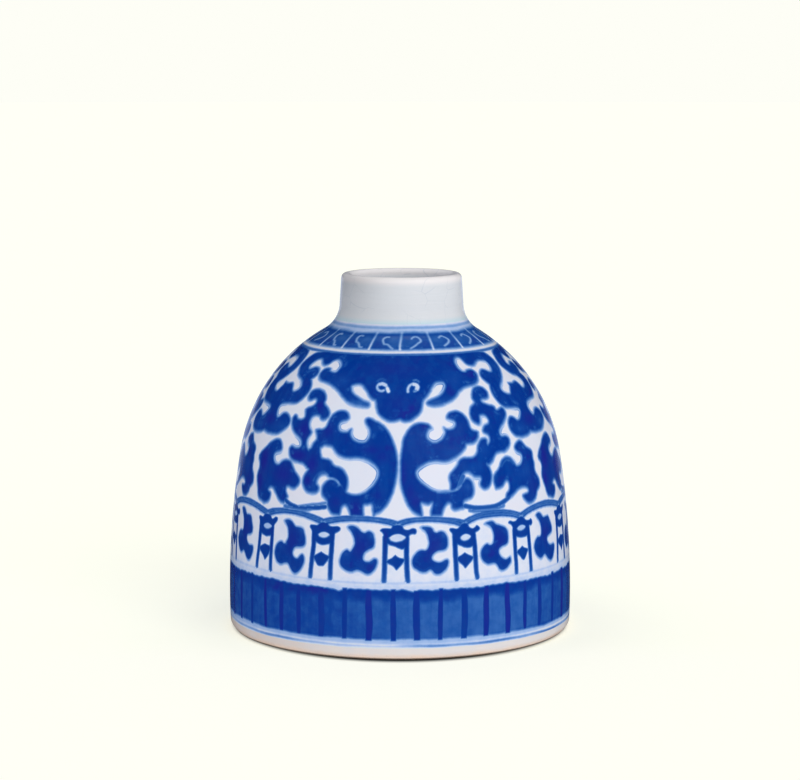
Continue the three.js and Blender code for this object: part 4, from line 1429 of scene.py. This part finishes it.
def makePaintedGlaze():
    material, sheet = freshMaterial("paintedGlaze")
    at = millimetres(sheet)

    def given(name):
        settings = {"attribute_type": "GEOMETRY", "attribute_name": name}
        return sheet.add("ShaderNodeAttribute", settings, {}, output=2)

    def soaked(depth, outer, inner, power):
        share = sheet.add("ShaderNodeMapRange", {}, {0: depth, 1: -outer, 2: inner})
        return share.maths("POWER", power)

    def lifted(value, low, high, share):
        return sheet.rise(value, low, high) * share

    run = given("run")
    fine = sheet.noise(at, *paint["fine"]) - 0.5
    blotch = sheet.noise(at, *paint["blotch"])
    cloudy = sheet.noise(at, *paint["cloudy"])
    streak = sheet.noise(stretched(sheet, at, *paint["streakStretch"]), *paint["streak"])
    tone = given("tone")
    keyline = given("keyline")
    # full brush: thins in places, mostly just inside an edge
    depth = given("cobalt") + fine * paint["edgeWander"]
    inner = sheet.rise(depth, *paint["thinInside"]) * (1.0 - sheet.rise(depth, *paint["thinUntil"]))
    thinning = inner * lifted(cloudy, *paint["thinCloudy"])
    thinning = thinning.maths("MAXIMUM", tone * paint["thinTone"])
    thinning = thinning + lifted(streak, *paint["thinStreaks"])
    cobalt = soaked(depth, *paint["fullBrush"]) * (1.0 - thinning) * given("cobaltLoad")
    # thin wash, streaked by the hairs of the brush
    wash = soaked(given("soft") + fine * paint["washWander"], *paint["thinWash"])
    base, hairs, uneven, thin = paint["washMix"]
    wash = wash * given("softLoad") * (base + streak * hairs + cloudy * uneven + tone * thin)
    line = sheet.rise(given("line") + fine * paint["lineWander"], *paint["lineEdge"])
    line = line * given("lineLoad") * (1.0 - tone * paint["lineTone"])
    # the outline drawn first, which stands a little clear of the fill
    outline = sheet.rise((depth + paint["outlineAt"]).maths("ABSOLUTE"), *paint["outlineFade"])
    outline = (1.0 - outline) * paint["outlineLoad"]
    between = sheet.rise(depth, *paint["betweenFade"]) * paint["betweenLoad"]
    outline = outline.maths("MAXIMUM", between) * keyline
    load = cobalt.maths("MAXIMUM", wash).maths("MAXIMUM", line).maths("MAXIMUM", outline)
    pale = sheet.rise(given("pale") + fine * paint["paleWander"], *paint["paleEdge"])
    pale = pale * given("paleLoad")
    load = load * (1.0 - pale) + given("stain") * (0.8 + 0.4 * cloudy)
    # ground: clear glaze over white, warmer towards the foot
    ground = sheet.blend(blotch, paint["ground"], paint["groundWarm"])
    ground = sheet.blend(1.0 - sheet.rise(run, *paint["footRuns"]), ground, paint["groundFoot"])
    hazed = load + lifted(cloudy, *paint["haze"])
    blue = {0: hazed.maths("MINIMUM", 1.0)}
    blue = sheet.add("ShaderNodeValToRGB", {"stops": paint["loads"]}, blue)
    colour = sheet.blend(sheet.rise(hazed, *paint["groundEnds"]), ground, blue)
    full = sheet.rise(load, *paint["full"])
    bright = lifted(streak, *paint["brightStreaks"]) * full
    colour = sheet.blend(bright, colour, paint["bright"])
    pooled = lifted(blotch, *paint["pools"]) * full
    pooled = pooled.maths("MAXIMUM", given("violet") * lifted(load, *paint["violetFrom"]))
    colour = sheet.blend(pooled, colour, paint["violet"])
    broad, small, share = paint["relief"]
    uneven = sheet.noise(at, *broad) + sheet.noise(at, *small) * share
    finishGlaze(sheet, colour, shineOf(sheet, at, *paint["roughness"]), uneven, 0.25)
    return material


plain = {
    "body": pigment(223, 228, 232),
    "bodyWarm": pigment(228, 229, 232),
    "blueEdge": pigment(194, 225, 238),
    "lip": pigment(247, 243, 243),
    "crackle": pigment(190, 200, 212),
    "ringColour": pigment(44, 86, 156),
    "ringPale": pigment(172, 196, 236),
    "ringLines": [(25.6, 0.42), (23.9, 0.46)],  # radius, half width
    "ringWander": 0.5,
    "neckFrom": (70.0, 75.0),
    # how far from the seam the blue fades out, and how far below the rim the lip is whiter
    "edgeFade": (-0.6, 1.6),
    "lipFade": (-2.6, -0.9),
    "crackSize": 0.16,
    "crackWidth": 0.02,
    "crackStrength": 0.35,
    "roughness": (0.12, 0.22),
}


def makePlainGlaze():
    material, sheet = freshMaterial("plainGlaze")
    at = millimetres(sheet)
    east, north, height = sheet.split(at)
    blotch = sheet.noise(at, 0.22, 3.0)
    throwing = sheet.noise(stretched(sheet, at, 0.06, 0.06, 1.0), 0.9, 3.0)
    colour = sheet.blend(blotch * 0.5 + throwing * 0.5, plain["body"], plain["bodyWarm"])
    onNeck = sheet.rise(height, *plain["neckFrom"])
    nearLine = (1.0 - sheet.rise(height - neckSeam, *plain["edgeFade"])) * onNeck
    colour = sheet.blend(nearLine, colour, plain["blueEdge"])
    atLip = sheet.rise(height - potHeight, *plain["lipFade"])
    colour = sheet.blend(atLip, colour, plain["lip"])
    cells = {"Vector": at, "Scale": plain["crackSize"], "Randomness": 1.0}
    cracks = sheet.add("ShaderNodeTexVoronoi", {"feature": "DISTANCE_TO_EDGE"}, cells)
    fine = (1.0 - sheet.rise(cracks, 0.0, plain["crackWidth"])) * onNeck
    fine = fine * sheet.rise(blotch, 0.45, 0.6) * plain["crackStrength"]
    colour = sheet.blend(fine, colour, plain["crackle"])
    # the double ring under the base, washed between its two lines
    out = (east * east + north * north).maths("SQRT")
    out = out + (sheet.noise(at, 0.06, 1.0) - 0.5) * plain["ringWander"]
    outer, inner = [middle for middle, half in plain["ringLines"]]
    under = 1.0 - sheet.rise(height, 3.5, 4.5)
    between = sheet.rise(out, inner - 0.9, inner) * (1.0 - sheet.rise(out, outer, outer + 0.5))
    colour = sheet.blend(between * under, colour, plain["ringPale"])
    for middle, half in plain["ringLines"]:
        drawn = 1.0 - sheet.rise((out - middle).maths("ABSOLUTE"), half - 0.15, half + 0.2)
        drawn = drawn * under * (0.55 + 0.6 * sheet.noise(at, 0.05, 1.0))
        colour = sheet.blend(drawn.maths("MINIMUM", 1.0), colour, plain["ringColour"])
    uneven = throwing * 0.4 + sheet.noise(at, 0.15, 2.0)
    finishGlaze(sheet, colour, shineOf(sheet, at, *plain["roughness"]), uneven, 0.3)
    return material


foot = {
    "glaze": pigment(223, 222, 225),
    "glazeWarm": pigment(238, 228, 219),
    # a warm tint of the glaze on the foot's left, darkened there as painted shade
    "leftTintAndShadeColour": pigment(223, 207, 195),
    "fireLine": pigment(247, 222, 202),
    "biscuit": pigment(212, 180, 154),
    # colour of a painted contact shadow along the foot's bottom edge
    "bottomShadeColour": pigment(84, 72, 60),
    "grit": pigment(140, 112, 90),
    # heights over the table, where each ends
    "burntUntil": (0.5, 2.0),
    "bareUntil": (0.15, 0.55),
    # where the painted contact shadow ends: height over the table, and the radius it starts from
    "bottomShadeUntil": (0.25, 0.70),
    "bottomShadeFrom": (42.4, 43.4),  # radius
    # painted shade with a warm glaze tint on the foot's left side, fading out by the middle
    "leftTintAndShadeFade": (-46.0, -4.0),  # browner on the left, up to the middle
    "gritSize": 2.2,
    "roughness": (0.22, 0.75),  # glazed, bare
}


def makeFootGlaze():
    material, sheet = freshMaterial("bareFoot")
    at = millimetres(sheet)
    east, north, height = sheet.split(at)
    blotch = sheet.noise(at, 0.18, 3.0)
    edge = height + sheet.noise(at, 0.30, 3.0) - 0.5
    colour = sheet.blend(blotch, foot["glaze"], foot["glazeWarm"])
    # the left of the foot browner and darker: partly the glaze's warm tint, partly painted shade on
    # that side
    leftTintAndShade = 1.0 - sheet.rise(east, *foot["leftTintAndShadeFade"])
    leftTintAndShade = leftTintAndShade * sheet.level(blotch, 0.3, 0.7, 0.5, 1.0)
    colour = sheet.blend(leftTintAndShade, colour, foot["leftTintAndShadeColour"])
    burnt = 1.0 - sheet.rise(edge, *foot["burntUntil"])
    burnt = burnt * (0.4 + 0.9 * sheet.noise(at, 0.09, 2.0))
    colour = sheet.blend(burnt.maths("MINIMUM", 1.0), colour, foot["fireLine"])
    bare = 1.0 - sheet.rise(edge, *foot["bareUntil"])
    colour = sheet.blend(bare, colour, foot["biscuit"])
    grit = sheet.rise(sheet.noise(at, foot["gritSize"], 3.0), 0.60, 0.74)
    grit = grit * (bare * 0.8 + burnt * 0.4)
    colour = sheet.blend(grit.maths("MINIMUM", 1.0) * 0.7, colour, foot["grit"])
    # painted contact shadow: dark where it meets the table, but only on the outside
    out = lengthOf(sheet, stretched(sheet, at, 1.0, 1.0, 0.0))
    paintedBottomShade = 1.0 - sheet.rise(height, *foot["bottomShadeUntil"])
    paintedBottomShade = paintedBottomShade * sheet.rise(out, *foot["bottomShadeFrom"])
    colour = sheet.blend(paintedBottomShade * 0.9, colour, foot["bottomShadeColour"])
    roughness = sheet.level(bare, 0.0, 1.0, *foot["roughness"])
    uneven = sheet.noise(at, 0.15, 2.0) + sheet.noise(at, 3.0, 2.0) * bare * 0.2
    finishGlaze(sheet, colour, roughness, uneven, 0.3)
    return material


paintedGlaze = makePaintedGlaze()
plainGlaze = makePlainGlaze()
footGlaze = makeFootGlaze()
print("glazes mixed")


# The sections
def settle(piece, nodes):
    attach(piece, "root")
    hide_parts(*nodes)
    print(piece.name, len(piece.data.polygons), "faces")


def paintedWall(wall, low, high, painters, inner=None):
    outer = wallPoints(low, high, 0.0, wall["spacing"])
    profile = outer + (inner or wallPoints(low, high, form["wall"], sections["inside"])[::-1])
    piece = throwSection(wall["name"], profile, paintedGlaze)
    layOutStrips(piece, profile, len(outer) - 1, wall["strips"], wall["outerShare"])
    canvas = Canvas(piece)
    for painter in painters:
        painter(canvas)
    canvas.store()
    settle(piece, [wall["node"]])


# where the pieces meet, and how far apart the points lie inside
sections = {"petalTop": 18.0, "waist": 36.0, "shoulder": 56.0, "inside": 3.0}
seatRadius = radiusAt(form["footHeight"]) - form["wall"]
discRadius = seatRadius - form["slipGap"]
coveTop = form["floorHeight"] + form["coveRadius"]
coveMiddle = (radiusAt(coveTop, form["wall"]) - form["coveRadius"], coveTop)

petalWall = {
    "name": "lower_wall_petals", "node": "lower_wall",
    "spacing": 0.30, "strips": 4, "outerShare": 0.86, "coveSteps": 8,
}
inner = wallPoints(coveTop, sections["petalTop"], form["wall"], sections["inside"])[::-1]
inner += arcPoints(coveMiddle, form["coveRadius"], 0, -90, petalWall["coveSteps"])[1:]
inner += [(seatRadius, form["floorHeight"]), (seatRadius, form["footHeight"])]
paintedWall(petalWall, form["footHeight"], sections["petalTop"], [paintPetals], inner)

archWall = {
    "name": "lower_wall_arcade", "node": "lower_wall",
    "spacing": 0.30, "strips": 4, "outerShare": 0.90,
}
painters = [paintPetals, paintArcade, paintFrieze]
paintedWall(archWall, sections["petalTop"], sections["waist"], painters)

dragonWall = {
    "name": "dome_wall_dragons", "node": "dome_wall",
    "spacing": 0.30, "strips": 4, "outerShare": 0.90,
}
painters = [paintArcade, paintFrieze]
paintedWall(dragonWall, sections["waist"], sections["shoulder"], painters)

maskWall = {
    "name": "dome_wall_mask", "node": "dome_wall",
    "spacing": 0.382, "strips": 3, "outerShare": 0.90,
}
paintedWall(maskWall, sections["shoulder"], neckSeam, [paintFrieze, paintCollar])

neck = {
    "name": "neck_collar_glazed", "node": "neck_collar",
    "strips": 2, "outerShare": 0.70,
    "spacing": 0.30, "throatSteps": 22, "lipSteps": 18,
    "inside": 0.8, "insideSteps": 3, "insideDrop": 2.0,
}
outerNeck = wallPoints(neckSeam, filletArc[1], 0.0, neck["spacing"])
for i in range(1, neck["throatSteps"]):
    lift = filletArc[1] + (lipHeight - filletArc[1]) * i / neck["throatSteps"]
    outerNeck.append((radiusAt(lift), lift))
lipMiddle = (form["lipRadius"] - lipRound, lipHeight)
outerNeck += arcPoints(lipMiddle, lipRound, 0, 180, neck["lipSteps"])
mouthRadius = form["neckRadius"] - form["wall"]
drops = [neck["insideDrop"] * (i + 1) for i in range(neck["insideSteps"])]
innerNeck = [(mouthRadius, lipHeight - drop) for drop in drops]
innerNeck += wallPoints(neckSeam, filletArc[1], form["wall"], neck["inside"])[::-1]
neckPiece = throwSection(neck["name"], outerNeck + innerNeck, plainGlaze)
layOutStrips(
    neckPiece, outerNeck + innerNeck, len(outerNeck) - 1, neck["strips"], neck["outerShare"]
)
settle(neckPiece, [neck["node"]])

tread = {
    "name": "foot_ring_fired", "node": "foot_ring",
    "strips": 6, "outerShare": 0.85,
    # how far each edge is worn round, and where the bevel runs out
    "innerWorn": 0.25, "outerWorn": 0.35, "bevelWorn": 0.6, "recessWorn": 0.2,
    "bevelEnd": 2.6, "wallFrom": 2.1, "spacing": 0.3,
}
treadOuter = radiusAt(form["footBevel"]) - form["bevelInset"]
treadInner = treadOuter - form["treadWidth"]
recess = discRadius - form["seatWidth"]
corners = [
    (recess, form["innerBevel"]), (treadInner, 0.0), (treadOuter, 0.0),
    (radiusAt(form["footBevel"]), form["footBevel"]),
    (radiusAt(tread["bevelEnd"]), tread["bevelEnd"]),
]
footOuter = softCorner(*corners[0:3], tread["innerWorn"])
footOuter += softCorner(*corners[1:4], tread["outerWorn"])
footOuter += softCorner(*corners[2:5], tread["bevelWorn"])
footOuter += wallPoints(tread["wallFrom"], form["footHeight"], 0.0, tread["spacing"])
recessTop = (recess, form["footHeight"])
footProfile = footOuter + [recessTop]
footProfile += softCorner(recessTop, corners[0], corners[1], tread["recessWorn"], 3)
footPiece = throwSection(tread["name"], footProfile, footGlaze)
layOutStrips(footPiece, footProfile, len(footOuter) - 1, tread["strips"], tread["outerShare"])
settle(footPiece, [tread["node"]])

# the double ring is under it, round a bare middle
disc = {
    "name": "base_disc_glazed", "node": "base_disc",
    "strips": 1, "outerShare": 0.80,
    "under": 60, "over": 12,  # steps from the middle to the rim
}
under, over = [np.linspace(0, discRadius, disc[side] + 1) for side in ("under", "over")]
baseProfile = [(r, form["footHeight"]) for r in under]
baseProfile += [(r, form["floorHeight"]) for r in over[::-1]]
baseDisc = throwSection(disc["name"], baseProfile, plainGlaze, closed=False)
layOutStrips(
    baseDisc, baseProfile, disc["under"], disc["strips"], disc["outerShare"], closed=False
)
settle(baseDisc, [disc["node"]])
print("sections thrown")


# Stage, light and camera
stage = {
    "paper": pigment(254, 254, 246),
    "paperLit": pigment(254, 254, 232),
    "floorRadius": 6.0,
    # share of the floor's brightness that the pot can't shade: in front of it, and elsewhere
    "floorGiven": [0.82, 0.50],
    "floorLit": [0.24, 0.66],
    "floorFront": [-0.046, -0.020],
    "floorGlow": 0.24,
    "bounce": 0.84,
    "mirrored": 0.02,
    "backdrop": 0.80,
    "backdropFrom": [0.76, 0.98],
    "room": [0.33, 0.72],
    "back": 0.45,
    "west": 0.22,
    "backdropTint": [0.58, 0.70, 1.0, 1.0],
    "ceiling": 0.01,
    # radii of the painted shadow ring round the foot, and how it is stretched
    "paintedShadowRing": [0.0441, 0.0479],
    "paintedShadowStretch": 1.07,
}
white = (1.0, 1.0, 1.0, 1.0)
black = (0.0, 0.0, 0.0, 1.0)


def dimmed(colour, level):
    return [part * level for part in colour[:3]] + [1.0]


def raysOf(sheet):
    # 1 for rays straight to the camera, and 1 for those by way of a glaze
    rays = sheet.add("ShaderNodeLightPath").socket.node.outputs
    straight = Value(sheet, rays["Is Camera Ray"]) + Value(sheet, rays["Is Transmission Ray"])
    return straight.maths("MINIMUM", 1.0), Value(sheet, rays["Is Glossy Ray"])


def makeFloor():
    mesh = bpy.data.meshes.new("floor")
    corners = 64
    angles = np.linspace(0, math.tau, corners + 1)[:-1]
    out = stage["floorRadius"]
    rim = [(math.cos(a) * out, math.sin(a) * out, 0.0) for a in angles]
    mesh.from_pydata(rim, [], [list(range(corners))])
    floor = bpy.data.objects.new("floor", mesh)
    scene.collection.objects.link(floor)
    material, sheet = freshMaterial("floorPaper")
    straight, glossy = raysOf(sheet)
    # a painted deep shadow where the foot stands: the floor is painted black in a ring round it
    spot = sheet.add("ShaderNodeTexCoord", {}, {}, output=3)
    out = lengthOf(sheet, stretched(sheet, spot, stage["paintedShadowStretch"], 1.0, 1.0))
    clear = sheet.rise(out, *stage["paintedShadowRing"])
    _, depth, _ = sheet.split(spot)
    aside = sheet.rise(depth, *stage["floorFront"])
    shade = {}
    for name, paper in (("floorLit", "paperLit"), ("floorGiven", "paper")):
        before, elsewhere = [dimmed(stage[paper], level) for level in stage[name]]
        shade[name] = sheet.blend(clear, black, sheet.blend(aside, before, elsewhere))
    glow = sheet.add("ShaderNodeEmission", {}, {"Color": shade["floorGiven"]})
    matt = sheet.add("ShaderNodeBsdfDiffuse", {}, {"Color": shade["floorLit"]})
    seen = sheet.add("ShaderNodeAddShader", {}, {0: glow, 1: matt})
    back = sheet.add("ShaderNodeBsdfDiffuse", {}, {"Color": dimmed(white, stage["bounce"])})
    upward = sheet.add("ShaderNodeEmission", {}, {"Color": dimmed(white, stage["floorGlow"])})
    unseen = sheet.add("ShaderNodeAddShader", {}, {0: back, 1: upward})
    # in the glaze the lit paper shows behind the pot, and the dark room in front
    way = sheet.add("ShaderNodeVectorMath", {"operation": "NORMALIZE"}, {0: spot})
    _, north, _ = sheet.split(way)
    behind = sheet.rise(north, *stage["backdropFrom"])
    ahead = dimmed(stage["paper"], stage["mirrored"])
    mirror = sheet.blend(behind, ahead, dimmed(stage["backdropTint"], stage["backdrop"]))
    mirror = sheet.add("ShaderNodeEmission", {}, {"Color": mirror})
    mixed = sheet.add("ShaderNodeMixShader", {}, {0: straight, 1: unseen, 2: seen})
    mixed = sheet.add("ShaderNodeMixShader", {}, {0: glossy, 1: mixed, 2: mirror})
    sheet.add("ShaderNodeOutputMaterial", {"target": "ALL"}, {0: mixed})
    mesh.materials.append(material)


def makeWorld():
    world = bpy.data.worlds.new("studio")
    world.use_nodes = True
    world.node_tree.nodes.clear()
    sheet = NodeSheet(world.node_tree)
    straight, glossy = raysOf(sheet)
    east, north, lift = sheet.split(sheet.add("ShaderNodeTexCoord", {}, {}, output=0))
    behind = sheet.rise(north, *stage["backdropFrom"]) * (1.0 - sheet.rise(lift, -0.10, 0.12))
    # soft light, more from above, and bluer light from the left and from behind
    low = 1.0 - sheet.rise(lift, 0.35, 0.8)
    cool = sheet.rise(north, 0.0, 0.5) * low * stage["back"]
    cool = cool + sheet.rise(0.0 - east, 0.1, 0.9) * stage["west"]
    room = sheet.level(lift, 0.0, 1.0, *stage["room"]) + cool
    mirrored = sheet.level(lift, 0.0, 0.5, stage["mirrored"], stage["ceiling"])
    mirrored = mirrored + behind * stage["backdrop"]
    strength = glossy * mirrored + (1.0 - glossy) * (straight + (1.0 - straight) * room)
    tinted = (cool / room + glossy).maths("MINIMUM", 1.0)
    colour = sheet.blend(tinted, white, stage["backdropTint"])
    colour = sheet.blend(straight, colour, stage["paper"])
    light = sheet.add("ShaderNodeBackground", {}, {"Color": colour, "Strength": strength})
    sheet.add("ShaderNodeOutputWorld", {"target": "ALL"}, {0: light})
    scene.world = world


# degrees to the right of the view and above the floor, and softness in degrees
keyLamp = {"turn": 28.0, "lift": 27.0, "strength": 1.16, "softness": 50.0}


def makeLamp():
    lamp = bpy.data.lights.new("key", "SUN")
    lamp.energy = keyLamp["strength"]
    lamp.angle = math.radians(keyLamp["softness"])
    holder = bpy.data.objects.new("key", lamp)
    scene.collection.objects.link(holder)
    tip, turn = math.radians(90.0 - keyLamp["lift"]), math.radians(keyLamp["turn"])
    holder.rotation_euler = (tip, 0.0, turn)
    holder.visible_glossy = False


# metres, and degrees round from the view
flag = {"turn": -58.0, "out": 0.031, "width": 0.030, "foot": 0.086, "head": 0.106}
view = {
    "distance": 0.6854, "height": 0.1527, "down": 7.54,
    "sensor": 36.0, "lens": 118.62,  # millimetres
    "clip": (0.05, 20.0),
}


def makeFlag():
    # a small black card, out of sight, that keeps light off the left of the neck
    mesh = bpy.data.meshes.new("neckFlag")
    half, low, high = flag["width"] / 2, flag["foot"], flag["head"]
    corners = [(-half, 0, low), (half, 0, low), (half, 0, high), (-half, 0, high)]
    mesh.from_pydata(corners, [], [[0, 1, 2, 3]])
    card = bpy.data.objects.new("neckFlag", mesh)
    turn = math.radians(flag["turn"])
    card.location = (math.sin(turn) * flag["out"], -math.cos(turn) * flag["out"], 0.0)
    card.rotation_euler = (0.0, 0.0, turn)
    scene.collection.objects.link(card)
    material, sheet = freshMaterial("flagCard")
    matt = sheet.add("ShaderNodeBsdfDiffuse", {}, {"Color": dimmed(white, 0.02)})
    sheet.add("ShaderNodeOutputMaterial", {"target": "ALL"}, {0: matt})
    mesh.materials.append(material)
    card.visible_camera = False
    card.visible_glossy = False
    card.visible_transmission = False


def makeCamera():
    camera = bpy.data.cameras.new("view")
    camera.sensor_width = view["sensor"]
    camera.lens = view["lens"]
    camera.clip_start, camera.clip_end = view["clip"]
    holder = bpy.data.objects.new("view", camera)
    holder.location = (0.0, -view["distance"], view["height"])
    holder.rotation_euler = (math.radians(90.0 - view["down"]), 0.0, 0.0)
    scene.collection.objects.link(holder)
    scene.camera = holder


makeFloor()
makeWorld()
makeLamp()
makeFlag()
makeCamera()
scene.view_settings.view_transform = "Standard"
print("stage set")
